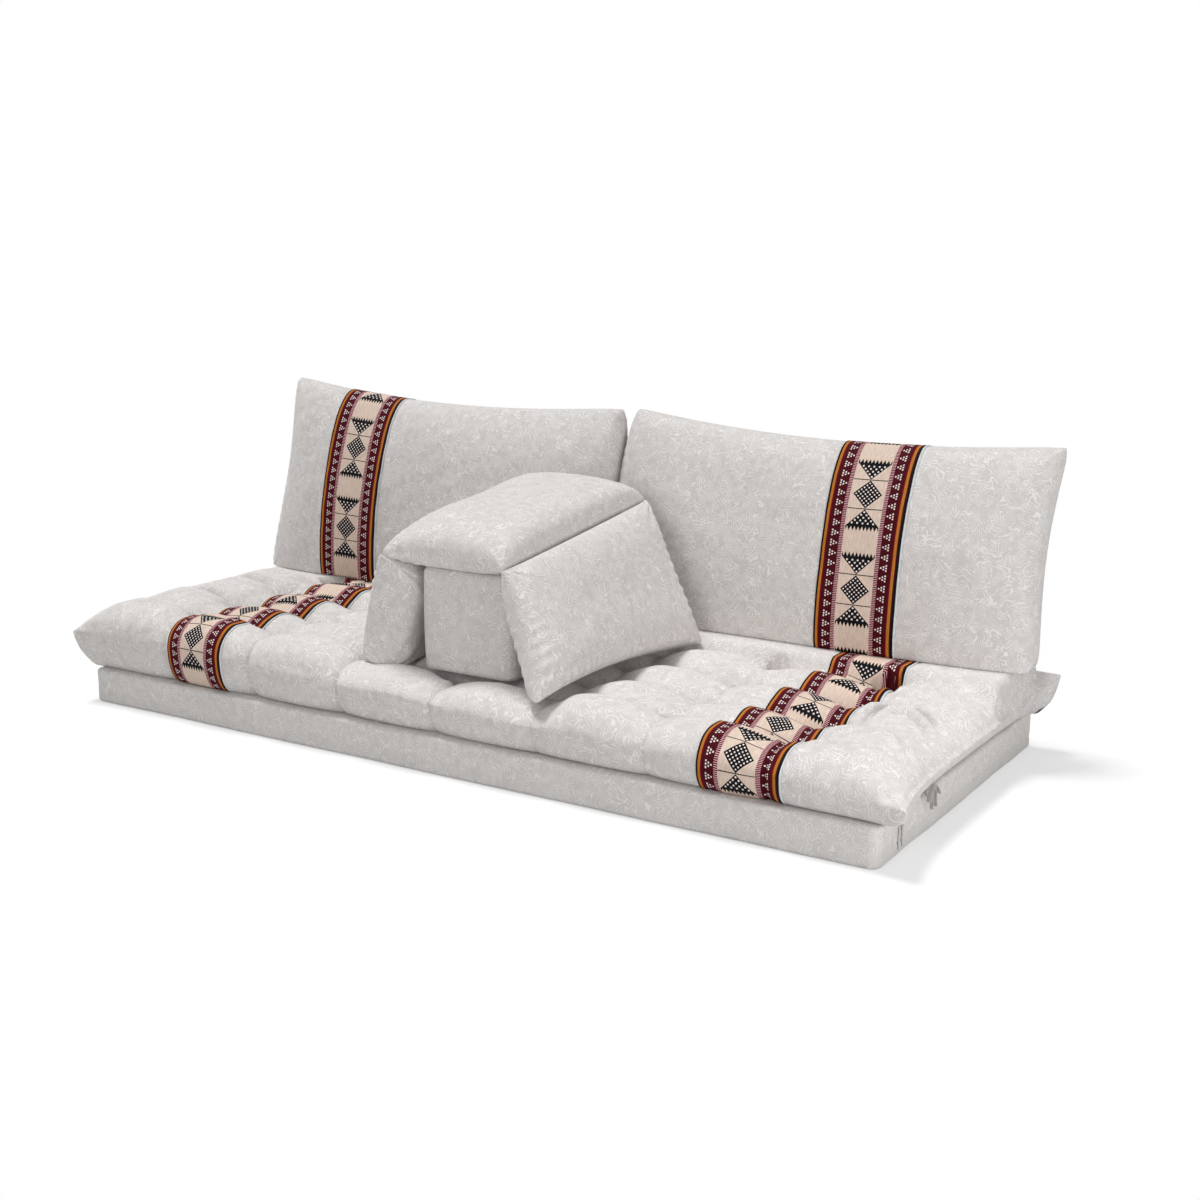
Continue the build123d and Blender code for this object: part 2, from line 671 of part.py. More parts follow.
def pad_half(plane, corners, side, crown, span, bluntness, draw_shares, filling):
    """Upper or lower panel of an armrest pillow, with its wadding."""
    with BuildPart() as half:
        for angle in PAD_LEVEL_ANGLES:
            height, inset = pillow_level(angle, crown, span, bluntness)
            level = drawn_in(corners, [inset] * len(corners))
            cut = seam_cut(angle, PAD_EAR_CUT, PAD_CORNER_ROUND, level)
            with BuildSketch(plane.offset(side * height)):
                with BuildLine():
                    cushion_outline(level, cut, draw_shares)
                make_face()
        loft(ruled=True)
        add(flat_faced(half.part), mode=Mode.REPLACE)
        add(filling.part, mode=Mode.SUBTRACT)
    return half


def pad_filling(plane, corners, inset, low, high):
    """Fibre filling of an armrest pillow."""
    with BuildPart() as filling:
        with BuildSketch(plane.offset(-low)):
            with BuildLine():
                Polyline(*drawn_in(corners, [inset] * len(corners)), close=True)
            make_face()
        extrude(amount=low + high)
    return filling


tilt = radians(PAD_TILT)
pad_plane = Plane(
    origin=(0, PAD_CENTRE_Y, PAD_CENTRE_Z),
    x_dir=(1, 0, 0),
    z_dir=(0, -sin(tilt), cos(tilt)),
)
pad_corners = [
    (-PAD_HALF_WIDTH, -PAD_HALF_LENGTH),
    (PAD_HALF_WIDTH, -PAD_HALF_LENGTH),
    (PAD_HALF_WIDTH, PAD_HALF_LENGTH),
    (-PAD_HALF_WIDTH, PAD_HALF_LENGTH),
]
arm_top_pad_filling = pad_filling(
    pad_plane, pad_corners, PAD_FILL_INSET, PAD_FILL_CROWN / 4, PAD_FILL_CROWN
)
arm_top_pad_upper = pad_half(
    pad_plane,
    pad_corners,
    1,
    PAD_UPPER_CROWN,
    PAD_HALF_WIDTH,
    PAD_UPPER_BLUNTNESS,
    PAD_DRAW_SHARES,
    arm_top_pad_filling,
)
pad_lower_full = pad_half(
    pad_plane,
    pad_corners,
    -1,
    PAD_LOWER_CROWN,
    PAD_HALF_WIDTH,
    PAD_BLUNTNESS,
    PAD_DRAW_SHARES,
    arm_top_pad_filling,
)
with BuildPart() as arm_top_pad_lower:
    add(pad_lower_full.part)
    split(bisect_by=Plane.XY.offset(BLOCK_TOP + FIT_GAP), keep=Keep.TOP)


def flap_plane(side, angle):
    """Plane of a hanging pillow: x runs down from the seam, y along it to the rear."""
    drop = radians(angle)
    down = (side * cos(drop), sin(drop) * sin(tilt), -sin(drop) * cos(tilt))
    rear = (0, cos(tilt), sin(tilt))
    out = (
        down[1] * rear[2] - down[2] * rear[1],
        down[2] * rear[0] - down[0] * rear[2],
        down[0] * rear[1] - down[1] * rear[0],
    )
    origin = (side * SEAM_AXIS_X, PAD_CENTRE_Y, PAD_CENTRE_Z)
    return Plane(origin=origin, x_dir=down, z_dir=out)


def flap_corners(front_drop, front_reach, rear_drop, rear_reach):
    """Counterclockwise corners of a hanging pillow, from the front top corner."""
    return [
        (FLAP_START, -PAD_HALF_LENGTH),
        (front_drop, -front_reach),
        (rear_drop, rear_reach),
        (FLAP_START, PAD_HALF_LENGTH),
    ]


def flap(side, angle, corners, rest):
    """Outer panel, inner panel and filling of one hanging pillow."""
    plane = flap_plane(side, angle)
    filling = pad_filling(plane, corners, PAD_FILL_INSET, FLAP_FILL_CROWN, FLAP_FILL_CROWN)
    halves = []
    for face in (side, -side):
        whole = pad_half(
            plane,
            corners,
            face,
            FLAP_CROWN,
            FLAP_SPAN,
            PAD_BLUNTNESS,
            FLAP_DRAW_SHARES,
            filling,
        )
        with BuildPart() as half:
            add(whole.part)
            split(bisect_by=Plane.XY.offset(rest), keep=Keep.TOP)
            if side > 0 and face != side:
                wall = BLOCK_CENTRE_X + BLOCK_WIDTH / 2 + FLAP_BLOCK_GAP
                split(bisect_by=Plane.YZ.offset(wall), keep=Keep.TOP)
        halves.append(half)
    return halves[0], halves[1], filling


right_flap_corners = flap_corners(
    RIGHT_FLAP_FRONT_DROP, RIGHT_FLAP_FRONT_REACH, RIGHT_FLAP_REAR_DROP, RIGHT_FLAP_REAR_REACH
)
left_flap_corners = flap_corners(
    LEFT_FLAP_FRONT_DROP, LEFT_FLAP_FRONT_REACH, LEFT_FLAP_REAR_DROP, LEFT_FLAP_REAR_REACH
)
arm_right_flap = flap(1, RIGHT_FLAP_ANGLE, right_flap_corners, RIGHT_FLAP_REST)
arm_left_flap = flap(-1, LEFT_FLAP_ANGLE, left_flap_corners, LEFT_FLAP_REST)


# Ribbons between mattress and base, flat against the base's ends

def ties(side):
    """A knotted ribbon and two hanging tails at one end of the sofa."""
    wall = side * (BASE_LENGTH / 2 + FIT_GAP)
    with BuildPart() as ribbons:
        for setback in (TIE_LOOP_SETBACK, *TIE_TAIL_SETBACKS):
            foot = TIE_LOOP_BOTTOM if setback == TIE_LOOP_SETBACK else TIE_TAIL_BOTTOM
            with BuildSketch(Plane.YZ.offset(wall)):
                with Locations((setback - BASE_DEPTH / 2, (foot + TIE_TOP) / 2)):
                    Rectangle(TIE_WIDTH, TIE_TOP - foot)
            extrude(amount=side * TIE_THICKNESS)
        with BuildSketch(Plane.YZ.offset(wall + side * TIE_THICKNESS)):
            with Locations((TIE_LOOP_SETBACK - BASE_DEPTH / 2, TIE_TOP - TIE_KNOT_RADIUS)):
                RegularPolygon(TIE_KNOT_RADIUS, TIE_KNOT_SIDES)
        extrude(amount=side * TIE_KNOT_RADIUS, taper=TIE_KNOT_TAPER)
    return ribbons


ties_left = ties(-1)
ties_right = ties(1)

# Every finished piece, by name

pieces = {
    "base_foam": base_foam,
    "base_cover": base_cover,
    "base_bottom_panel": base_bottom_panel,
    "base_zip_tape": base_zip_tape,
    "base_zip_slider": base_zip_slider,
    "seat_core": seat_core,
    "seat_cover_top": seat_cover_top,
    "seat_cover_bottom": seat_cover_bottom,
    "seat_tufts": seat_tufts,
    "seat_band_left": seat_band_left,
    "seat_band_right": seat_band_right,
    "ties_left": ties_left,
    "ties_right": ties_right,
    "arm_block_foam": arm_block_foam,
    "arm_block_cover": arm_block_cover,
    "arm_top_pad_upper": arm_top_pad_upper,
    "arm_top_pad_lower": arm_top_pad_lower,
    "arm_top_pad_filling": arm_top_pad_filling,
}
for side, built in (("left", left_back), ("right", right_back)):
    kinds = ("cover_front", "cover_rear", "filling", "band", "zip_tape", "zip_slider")
    for kind, piece in zip(kinds, built):
        pieces[f"back_{side}_{kind}"] = piece
for side, built in (("left", arm_left_flap), ("right", arm_right_flap)):
    for kind, piece in zip(("outer", "inner", "filling"), built):
        pieces[f"arm_{side}_pad_{kind}"] = piece

os.makedirs("parts", exist_ok=True)
for name, piece in pieces.items():
    piece.part.label = name
    export_step(piece.part, f"parts/{name}.step")
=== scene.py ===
import bpy
import bmesh
import math
import numpy as np
from mathutils import Matrix, Vector


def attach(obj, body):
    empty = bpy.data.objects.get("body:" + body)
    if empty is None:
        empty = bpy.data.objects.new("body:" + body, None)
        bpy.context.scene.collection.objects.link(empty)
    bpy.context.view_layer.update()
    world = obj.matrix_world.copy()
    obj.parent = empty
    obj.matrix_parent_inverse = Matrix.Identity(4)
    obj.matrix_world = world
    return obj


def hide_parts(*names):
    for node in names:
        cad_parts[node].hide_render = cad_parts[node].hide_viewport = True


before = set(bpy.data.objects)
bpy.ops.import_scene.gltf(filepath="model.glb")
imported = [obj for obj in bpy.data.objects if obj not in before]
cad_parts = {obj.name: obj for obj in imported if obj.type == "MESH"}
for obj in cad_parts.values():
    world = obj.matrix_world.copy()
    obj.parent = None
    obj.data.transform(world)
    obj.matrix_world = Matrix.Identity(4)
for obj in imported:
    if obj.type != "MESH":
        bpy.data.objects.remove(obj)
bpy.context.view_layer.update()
scene = bpy.context.scene


# Studio. A pale floor, a white surround, an even light from overhead through silk, and two
# soft boxes. The camera stands in front of the right end, a little above the back cushions.

camera = bpy.data.objects.new("camera", bpy.data.cameras.new("camera"))
scene.collection.objects.link(camera)
camera.location = (2.0016, -2.9159, 1.0831)
camera.rotation_euler = (math.radians(77.288), 0, math.radians(32.324))
camera.data.lens = 48.335
camera.data.sensor_width = 36
camera.data.clip_end = 60
scene.camera = camera
scene.view_settings.view_transform = "Standard"


def lamp(name, kind, place, target, power, **settings):
    """A lamp that faces a target."""
    light = bpy.data.lights.new(name, kind)
    light.energy = power
    for key, value in settings.items():
        setattr(light, key, value)
    holder = bpy.data.objects.new(name, light)
    scene.collection.objects.link(holder)
    holder.location = place
    aim = Vector(target) - Vector(place)
    holder.rotation_euler = aim.to_track_quat("-Z", "Y").to_euler()


lamp("soft_box_front", "AREA", (0.6, -4.6, 1.9), (0, 0, 0.25), 50, shape="SQUARE", size=1.8)
lamp("soft_box_right", "AREA", (2.8, -0.8, 0.5), (0, 0, 0.15), 20, shape="SQUARE", size=1.0)
lamp("overhead_silk", "SUN", (-0.85, 0.05, 3.0), (0, -0.1, 0.2), 2.4, angle=math.radians(15))

world = bpy.data.worlds.new("surround")
scene.world = world
world.use_nodes = True


class Wire:
    """A socket of a shader that can be written in sums, with nodes added as it goes."""

    def __init__(self, tree, socket):
        self.tree, self.socket = tree, socket

    def math(self, operation, *others):
        values = dict(enumerate((self, *others)))
        return add_node(self.tree, "ShaderNodeMath", {"operation": operation}, values)

    def __add__(self, other):
        return self.math("ADD", other)

    def __mul__(self, other):
        return self.math("MULTIPLY", other)

    def __sub__(self, other):
        return self.math("SUBTRACT", other)

    def __rsub__(self, other):
        return add_node(self.tree, "ShaderNodeMath", {"operation": "SUBTRACT"}, {0: other, 1: self})

    def __truediv__(self, other):
        return self.math("DIVIDE", other)

    def __gt__(self, other):
        return self.math("GREATER_THAN", other)

    def __lt__(self, other):
        return self.math("LESS_THAN", other)

    __radd__ = __add__
    __rmul__ = __mul__

    def fract(self):
        return self.math("FRACT")

    def size(self):
        return self.math("ABSOLUTE")

    def either(self, other):
        return self.math("MAXIMUM", other)

    def ramp(self, low, high):
        """0 at low and below, 1 at high and above, smooth between."""
        return add_node(self.tree, "ShaderNodeMapRange", {"interpolation_type": "SMOOTHSTEP"},
                        {"Value": self, "From Min": low, "From Max": high})

    def paint(self, below, above):
        """Colour below where this is 0, colour above where it is 1."""
        return add_node(self.tree, "ShaderNodeMix", {"data_type": "RGBA"},
                        {0: self, 6: below, 7: above}, output=2)


def add_node(tree, kind, settings, inputs, output=0):
    """One shader node: its settings first, then the values or wires of its sockets."""
    node = tree.nodes.new(kind)
    for key, value in settings.items():
        setattr(node, key, value)
    for key, value in inputs.items():
        if isinstance(value, Wire):
            tree.links.new(value.socket, node.inputs[key])
        else:
            if isinstance(value, tuple) and node.inputs[key].type == "RGBA":
                value = (*value, 1)
            node.inputs[key].default_value = value
    return Wire(tree, node.outputs[output])


def srgb(red, green, blue):
    """Linear colour of a screen colour given in steps of 0 to 255."""
    return tuple((c / 255) ** 2.2 for c in (red, green, blue))


def start_material(name):
    """An empty material with its surface shader, and the tree to build it in."""
    material = bpy.data.materials.new(name)
    material.use_nodes = True
    tree = material.node_tree
    shader = tree.nodes["Principled BSDF"]
    return material, tree, shader


def feed(tree, shader, socket, wire):
    tree.links.new(wire.socket, shader.inputs[socket])


def outputs_of(tree, kind, inputs, names):
    """Several outputs of one node."""
    node = add_node(tree, kind, {}, inputs).socket.node
    return [Wire(tree, node.outputs[name]) for name in names]


def seen_rays(tree):
    """1 for rays that the camera sees, straight, mirrored or through glass."""
    straight, mirrored, through = outputs_of(tree, "ShaderNodeLightPath", {},
                                             ("Is Camera Ray", "Is Glossy Ray", "Is Transmission Ray"))
    return straight.either(mirrored).either(through)


SURROUND_LIGHT = 0.30
surround = world.node_tree.nodes["Background"]
surround.inputs["Color"].default_value = (1, 1, 1, 1)
feed(world.node_tree, surround, "Strength",
     seen_rays(world.node_tree) * (1 - SURROUND_LIGHT) + SURROUND_LIGHT)


def floor_material():
    """Pale floor: white far off, with the sofa's shadow near it, and a duller bounce of light."""
    material, tree, shader = start_material("studio_floor")
    feed(tree, shader, "Base Color", seen_rays(tree).paint((0.55, 0.55, 0.55), (0.93, 0.93, 0.93)))
    shader.inputs["Roughness"].default_value = 0.9
    shader.inputs["Specular IOR Level"].default_value = 0.0
    spot = add_node(tree, "ShaderNodeNewGeometry", {}, {})
    away = add_node(tree, "ShaderNodeVectorMath", {"operation": "LENGTH"}, {0: spot}, output=1)
    lit = add_node(tree, "ShaderNodeEmission", {}, {"Color": (1, 1, 1), "Strength": 1.0})
    seen = seen_rays(tree) * (away.ramp(1.0, 1.9) * 0.5 + 0.5)
    mixed = add_node(tree, "ShaderNodeMixShader", {}, {0: seen, 1: Wire(tree, shader.outputs[0]), 2: lit})
    tree.links.new(mixed.socket, tree.nodes["Material Output"].inputs["Surface"])
    return material


bpy.ops.mesh.primitive_plane_add(size=40)
floor = bpy.context.object
floor.name = "studio_floor"
floor.data.materials.append(floor_material())


# Base slab. A block of firm foam in a cover: jacquard on top and on the sides, and a plain
# lining underneath that turns up a little at both ends, where a seam joins the two.

BASE_SIZE = (2.0, 0.855, 0.080)
BASE_CORNER, BASE_EDGE = 0.022, 0.008
LINING_RISE = 0.026


def smooth_step(value, low, high):
    share = np.clip((value - low) / (high - low), 0, 1)
    return share * share * (3 - 2 * share)


def ripple(points, wavelength, seed, count=7):
    """Smooth wandering values of about -1 to 1 over an array of points."""
    draw = np.random.default_rng(seed)
    total = np.zeros(points.shape[:-1])
    for _ in range(count):
        way = draw.normal(size=3)
        way /= np.linalg.norm(way)
        pace = 2 * math.pi / (wavelength * draw.uniform(0.6, 1.7))
        total += np.sin(points @ (way * pace) + draw.uniform(0, 2 * math.pi))
    return total / math.sqrt(count) / 1.2


def new_piece(name, mesh_data, body, material, replaced=()):
    """Object of a finished mesh that rides on a body and takes a slot's finish."""
    piece = bpy.data.objects.new(name, mesh_data)
    scene.collection.objects.link(piece)
    mesh_data.materials.append(material)
    for face in mesh_data.polygons:
        face.use_smooth = True
    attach(piece, body)
    if replaced:
        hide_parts(*replaced)
    return piece


def mesh_from(shape, name):
    """Mesh data of a bmesh, which is freed."""
    data = bpy.data.meshes.new(name)
    shape.to_mesh(data)
    shape.free()
    return data


def vertex_array(data):
    flat = np.zeros(len(data.vertices) * 3)
    data.vertices.foreach_get("co", flat)
    return flat.reshape(-1, 3)


def set_vertices(data, points):
    data.vertices.foreach_set("co", np.ascontiguousarray(points, dtype=float).ravel())
    data.update()


CURL_PITCH = 0.0052


def object_place(tree):
    """Where a point lies on the sofa, in metres."""
    return add_node(tree, "ShaderNodeTexCoord", {}, {}, output="Object")


def noise(tree, place, scale, detail, **more):
    """Cloudy noise of about 0 to 1, so many lumps to the metre."""
    values = {"Vector": place, "Scale": scale, "Detail": detail, **more}
    return add_node(tree, "ShaderNodeTexNoise", {}, values)


def distance_along(tree, place, way):
    """How far a place lies along a direction."""
    values = {0: place, 1: way}
    return add_node(tree, "ShaderNodeVectorMath", {"operation": "DOT_PRODUCT"}, values, output=1)


def relief(tree, shader, height, strength, distance):
    """Fine relief of the surface by a height."""
    feed(tree, shader, "Normal", add_node(tree, "ShaderNodeBump", {},
                                          {"Height": height, "Strength": strength, "Distance": distance}))


def jacquard(name, ground, thread, end_strip=False):
    """Pale chenille jacquard: curled raised threads, broken up, on a fine woven ground.

    With an end strip, the cloth is plain wherever it faces the sofa's ends."""
    material, tree, shader = start_material(name)
    place = object_place(tree)
    curls = []
    for way, swirl, shift in (((0.60, 0.50, 0.62), 11.0, 0.0), ((-0.60, 0.62, 0.50), 13.0, 4.0),
                              ((0.50, -0.62, 0.60), 15.0, 9.0)):
        moved = add_node(tree, "ShaderNodeVectorMath", {"operation": "ADD"},
                         {0: place, 1: (shift, shift / 2, -shift)})
        along = distance_along(tree, place, way)
        field = noise(tree, moved, 22.0, 1.0, Roughness=0.35, Distortion=0.4)
        line = ((along / CURL_PITCH + field * swirl).fract() - 0.5).size()
        curls.append((1 - line.ramp(0.06, 0.19)) * noise(tree, moved, 56.0, 1.0).ramp(0.46, 0.54))
    curl = curls[0].either(curls[1]).either(curls[2])
    fuzz = noise(tree, place, 900.0, 2.0)
    weave = add_node(tree, "ShaderNodeTexVoronoi", {}, {"Vector": place, "Scale": 620.0})
    if end_strip:
        axes = add_node(tree, "ShaderNodeSeparateXYZ", {}, {"Vector": place})
        curl = curl * (axes.size() < BASE_SIZE[0] / 2 - 0.012)
    deep, worn = (tuple(c * share for c in ground) for share in (0.84, 0.95))
    base = noise(tree, place, 26.0, 3.0).ramp(0.35, 0.7).paint(worn, ground)
    base = (fuzz.ramp(0.60, 0.34) * 0.5).paint(base, deep)
    feed(tree, shader, "Base Color", (curl * 0.62).paint(base, thread))
    feed(tree, shader, "Roughness", 0.9 - curl * 0.18)
    shader.inputs["Specular IOR Level"].default_value = 0.25
    shader.inputs["Sheen Weight"].default_value = 0.25
    shader.inputs["Sheen Roughness"].default_value = 0.5
    relief(tree, shader, curl * 0.7 + weave * 0.35 + fuzz * 0.3, 0.5, 0.0010)
    return material


cover_cloth = jacquard("jacquard_cover", srgb(209, 204, 201), srgb(243, 240, 238))
# The base's cloth is the cover's jacquard with its ground painted a little lighter: painted light on the
# base's sides.
base_cloth_painted_lighter = jacquard("jacquard_base_painted_lighter", srgb(213, 208, 205), srgb(242, 239, 236))
lining_cloth = jacquard("plain_lining", srgb(211, 207, 204), srgb(236, 233, 230), end_strip=True)


def cut(shape, point, across, **keep):
    """Cuts a shape along a plane."""
    bmesh.ops.bisect_plane(shape, geom=shape.verts[:] + shape.edges[:] + shape.faces[:], dist=1e-6,
                           plane_co=point, plane_no=across, **keep)


def cut_in_steps(shape, axis, low, high, count):
    """Cuts a shape into equal slices along one axis."""
    for k in range(1, count):
        point, across = [0, 0, 0], [0, 0, 0]
        point[axis] = low + (high - low) * k / count
        across[axis] = 1
        cut(shape, point, across)


def round_off(shape, edges, radius, steps):
    """Rounds edges of a shape."""
    bmesh.ops.bevel(shape, geom=edges, offset=radius, segments=steps, profile=0.5, affect="EDGES",
                    material=-1)


def foam_block(size, centre, corner_radius, corner_steps):
    """A block with rounded upright edges, centred on a point."""
    shape = bmesh.new()
    bmesh.ops.create_cube(shape, size=1)
    bmesh.ops.scale(shape, vec=size, verts=shape.verts)
    bmesh.ops.translate(shape, vec=centre, verts=shape.verts)
    upright = [e for e in shape.edges if abs(e.verts[0].co.z - e.verts[1].co.z) > 0.01]
    round_off(shape, upright, corner_radius, corner_steps)
    return shape


def part_of_base(upper):
    """The jacquard cover, or the lining with its turned-up rim."""
    shape = foam_block(BASE_SIZE, (0, 0, BASE_SIZE[2] / 2), BASE_CORNER, 12)
    rim = [e for e in shape.edges if abs(e.verts[0].co.z - e.verts[1].co.z) < 1e-5
           and len(e.link_faces) == 2 and any(abs(f.normal.z) > 0.9 for f in e.link_faces)
           and any(abs(f.normal.z) < 0.1 for f in e.link_faces)]
    round_off(shape, rim, BASE_EDGE, 4)
    cut_in_steps(shape, 0, -BASE_SIZE[0] / 2, BASE_SIZE[0] / 2, 100)
    cut_in_steps(shape, 1, -BASE_SIZE[1] / 2, BASE_SIZE[1] / 2, 42)
    cut_in_steps(shape, 2, 0.0, BASE_SIZE[2], 8)
    cut(shape, (0, 0, LINING_RISE), (0, 0, 1), clear_inner=upper, clear_outer=not upper)
    return shape


def settled_base(points):
    """Soft unevenness of the cover, with its grooved seams, flat where the zip is sewn in."""
    soft = ripple(points, 0.24, 3) * 0.0011 + ripple(points, 0.07, 4) * 0.0004
    by_zip = smooth_step(points[:, 1], 0.40, 0.42) * (1 - smooth_step(np.abs(points[:, 0]), 0.83, 0.86))
    soft = soft * (1 - by_zip) - 0.0003 * by_zip
    half_x, half_y = BASE_SIZE[0] / 2, BASE_SIZE[1] / 2
    past_x, past_y = np.abs(points[:, 0]) - half_x, np.abs(points[:, 1]) - half_y
    outward = points - np.array([0, 0, BASE_SIZE[2] / 2])
    outward[:, 0] *= past_x > -0.03
    outward[:, 1] *= past_y > -0.03
    outward[:, 2] *= points[:, 2] > BASE_SIZE[2] - 0.012
    outward = outward / np.maximum(np.linalg.norm(outward, axis=1, keepdims=True), 1e-9)
    groove = np.exp(-((points[:, 2] - LINING_RISE) / 0.0022) ** 2) * 0.0018
    groove = groove * smooth_step(past_x, -0.006, -0.001)
    turn = np.arctan2(past_y + BASE_CORNER, past_x + BASE_CORNER)
    groove = groove + np.exp(-((turn - math.radians(22.5)) / 0.07) ** 2) * 0.0016 * (turn > 0.05)
    points = points + outward * (soft - groove)[:, None]
    points[:, 2] = np.maximum(points[:, 2], 0)
    return points


for upper, name, slot_name, material, nodes in (
        (True, "base_cover_cloth", "base_cover_cloth", base_cloth_painted_lighter, ("base_cover", "base_foam")),
        (False, "base_lining_cloth", "plain_underside", lining_cloth, ("base_bottom_panel",))):
    data = mesh_from(part_of_base(upper), name)
    set_vertices(data, settled_base(vertex_array(data)))
    new_piece(name, data, "base_and_mattress", material, nodes)


# Mattress. A cotton-filled cover, tufted through in seven columns of five stitches, that
# lies on the base and hangs over its edges. Weight has pressed it down under the armrest.

SEAT_HALF = 1.045
SEAT_SEAM = 0.145
SEAT_SEAM_TILT = 0.020
SEAM_LIP, LIP_WIDTH = 0.005, 0.005
SEAT_BOWS = (0.014, 0.031)
SEAT_CREST, SEAT_CREST_TILT = 0.215, 0.030
REAR_CREST, REAR_CREST_TILT = 0.209, 0.012
ARMREST_X, PRESSED_REACH, PRESSED_CREST = 0.033, 0.330, 0.193
EAR_LIFT = 0.040
EAR_DIMPLE = (1.012, -0.424, 0.140)
FRONT_REACH, FOOT_REACH = 0.432, 0.395
MATTRESS_FLOOR = BASE_SIZE[2] + 0.0003
SEAT_ROLL = 0.070
ROLL_WALK = math.pi / 2 * SEAT_ROLL * 1.05
FLAT_SPAN = 2 * (FRONT_REACH - SEAT_ROLL)
TUFT_X, TUFT_Y = 0.255, 0.153
TUFT_SHIFT = 0.010
TUFT_FIRST, TUFT_ROWS = -0.310, 5
TUFT_LAST = TUFT_FIRST + (TUFT_ROWS - 1) * TUFT_Y
TUFT_SIDE_COLUMNS = 3
ROW_DROP, COLUMN_DROP, PIT_DROP = 0.028, 0.021, 0.015
PIT_DEPTH, PIT_RADIUS, PIT_PULL = 0.009, 0.018, 0.060
MATTRESS_BANDS = {"left": -0.657, "right": 0.725}
MATTRESS_BAND_HALF = 0.086


def crease(x, y, path, depth, width):
    """Depth of a fold that runs along a path of points and fades out at both ends."""
    path = np.array(path)
    legs = np.linalg.norm(np.diff(path, axis=0), axis=1)
    total = legs.sum()
    nearest = np.full(x.shape, 9.0)
    where = np.zeros(x.shape)
    done = 0.0
    for start, finish, leg in zip(path, path[1:], legs):
        way = (finish - start) / leg
        along = np.clip((x - start[0]) * way[0] + (y - start[1]) * way[1], 0, leg)
        away = np.hypot(x - start[0] - along * way[0], y - start[1] - along * way[1])
        closer = away < nearest
        where = np.where(closer, (done + along) / total, where)
        nearest = np.minimum(nearest, away)
        done += leg
    taper = np.sin(np.pi * np.clip(where, 0.02, 0.98)) ** 0.7
    shoulder = 0.45 * np.exp(-((nearest - 2.2 * width) / (1.3 * width)) ** 2)
    return depth * taper * (np.exp(-(nearest / width) ** 2) - shoulder)


# Folds at the sewn ends: the way of each over the mattress, its depth and its width.
END_CREASES = (
    (((0.84, -0.170), (0.85, -0.060), (0.90, -0.010), (0.96, -0.040), (1.020, -0.090)), 0.021, 0.009),
    (((0.87, -0.090), (0.91, -0.060), (0.97, -0.105), (1.025, -0.165)), 0.015, 0.008),
    (((0.93, -0.205), (0.98, -0.240), (1.030, -0.285)), 0.015, 0.008),
    (((0.83, 0.010), (0.81, 0.100), (0.79, 0.230)), 0.010, 0.008),
    (((0.86, 0.120), (0.91, 0.150), (0.98, 0.110)), 0.005, 0.007),
    (((0.97, 0.160), (1.00, 0.270), (1.030, 0.360)), 0.013, 0.009),
    (((0.80, -0.300), (0.86, -0.330), (0.95, -0.385)), 0.006, 0.008),
    (((-0.77, -0.160), (-0.86, -0.150), (-1.00, -0.200)), 0.012, 0.009),
    (((-0.77, -0.010), (-0.85, 0.010), (-0.99, -0.020)), 0.012, 0.009),
    (((-0.78, 0.150), (-0.88, 0.170), (-1.00, 0.150)), 0.009, 0.009),
    (((-0.77, -0.310), (-0.85, -0.330), (-0.95, -0.385)), 0.008, 0.009),
)


def tufted_rows(y, fade):
    """1 among the rows of tufts, down to 0 beyond the first and the last over a distance."""
    past_first = smooth_step(y, TUFT_FIRST - fade, TUFT_FIRST)
    return past_first * (1 - smooth_step(y, TUFT_LAST, TUFT_LAST + fade))


def seat_top(x, y):
    """Height of the mattress's top over its middle part."""
    press = smooth_step(PRESSED_REACH - np.abs(x - ARMREST_X), 0.0, PRESSED_REACH / 3)
    free = SEAT_CREST - SEAT_CREST_TILT * x
    crest = free + (PRESSED_CREST - free) * press
    rear = REAR_CREST - REAR_CREST_TILT * x
    crest = crest + (rear - crest) * smooth_step(y, 0.10, 0.19)
    column = (x - TUFT_SHIFT) / TUFT_X
    row = (y - TUFT_FIRST) / TUFT_Y
    beyond = np.abs(column) - TUFT_SIDE_COLUMNS
    tufted = 1 - smooth_step(beyond, 0.08, 0.30)
    fade = 1 - 0.75 * smooth_step(beyond, 0.10, 0.75)
    inside = tufted_rows(y, 0.030)
    off_x = np.abs(column - np.clip(np.round(column), -TUFT_SIDE_COLUMNS, TUFT_SIDE_COLUMNS)) * TUFT_X
    nearest_row = np.clip(np.round(row), 0, TUFT_ROWS - 1)
    off_y = (row - nearest_row) * TUFT_Y
    near = np.exp(-(off_x / PIT_PULL) ** 2) * tufted
    along = np.clip(np.abs(np.sin(np.pi * row)), 0, 1)
    across = np.clip(np.abs(np.sin(np.pi * column)), 0, 1)
    drop = (ROW_DROP + PIT_DROP * near) * (1 - along ** 1.1) * fade * inside
    drop = drop + COLUMN_DROP * (1 - across ** 0.9) * tufted
    drop = drop + 0.003 * np.exp(-np.abs(off_y) / 0.004) * inside * fade * (0.35 + 0.65 * near)
    drop = drop + 0.0025 * np.exp(-off_x / 0.004) * tufted * (0.5 + 0.5 * np.exp(-np.abs(off_y) / 0.04))
    away = np.hypot(off_x, off_y)
    turn = np.arctan2(off_y, (column - np.round(column)) * TUFT_X)
    which = np.round(column) * TUFT_ROWS + nearest_row
    spokes = np.cos(turn * 5 + which * 2.3) + 0.6 * np.cos(turn * 8 + which * 4.1)
    ring = np.exp(-(away / PIT_PULL) ** 2) * (1 - np.exp(-(away / (PIT_PULL / 5)) ** 2))
    drop = drop + tufted * (PIT_DEPTH * np.exp(-(away / PIT_RADIUS) ** 2) + 0.0020 * spokes * ring)
    for path, depth, width in END_CREASES:
        drop = drop + crease(x, y, path, depth, width)
    swells = 0.011 * np.cos(2 * np.pi * (y + 0.05) / 0.50) * smooth_step(x, 0.82, 0.95)
    return crest - drop - swells


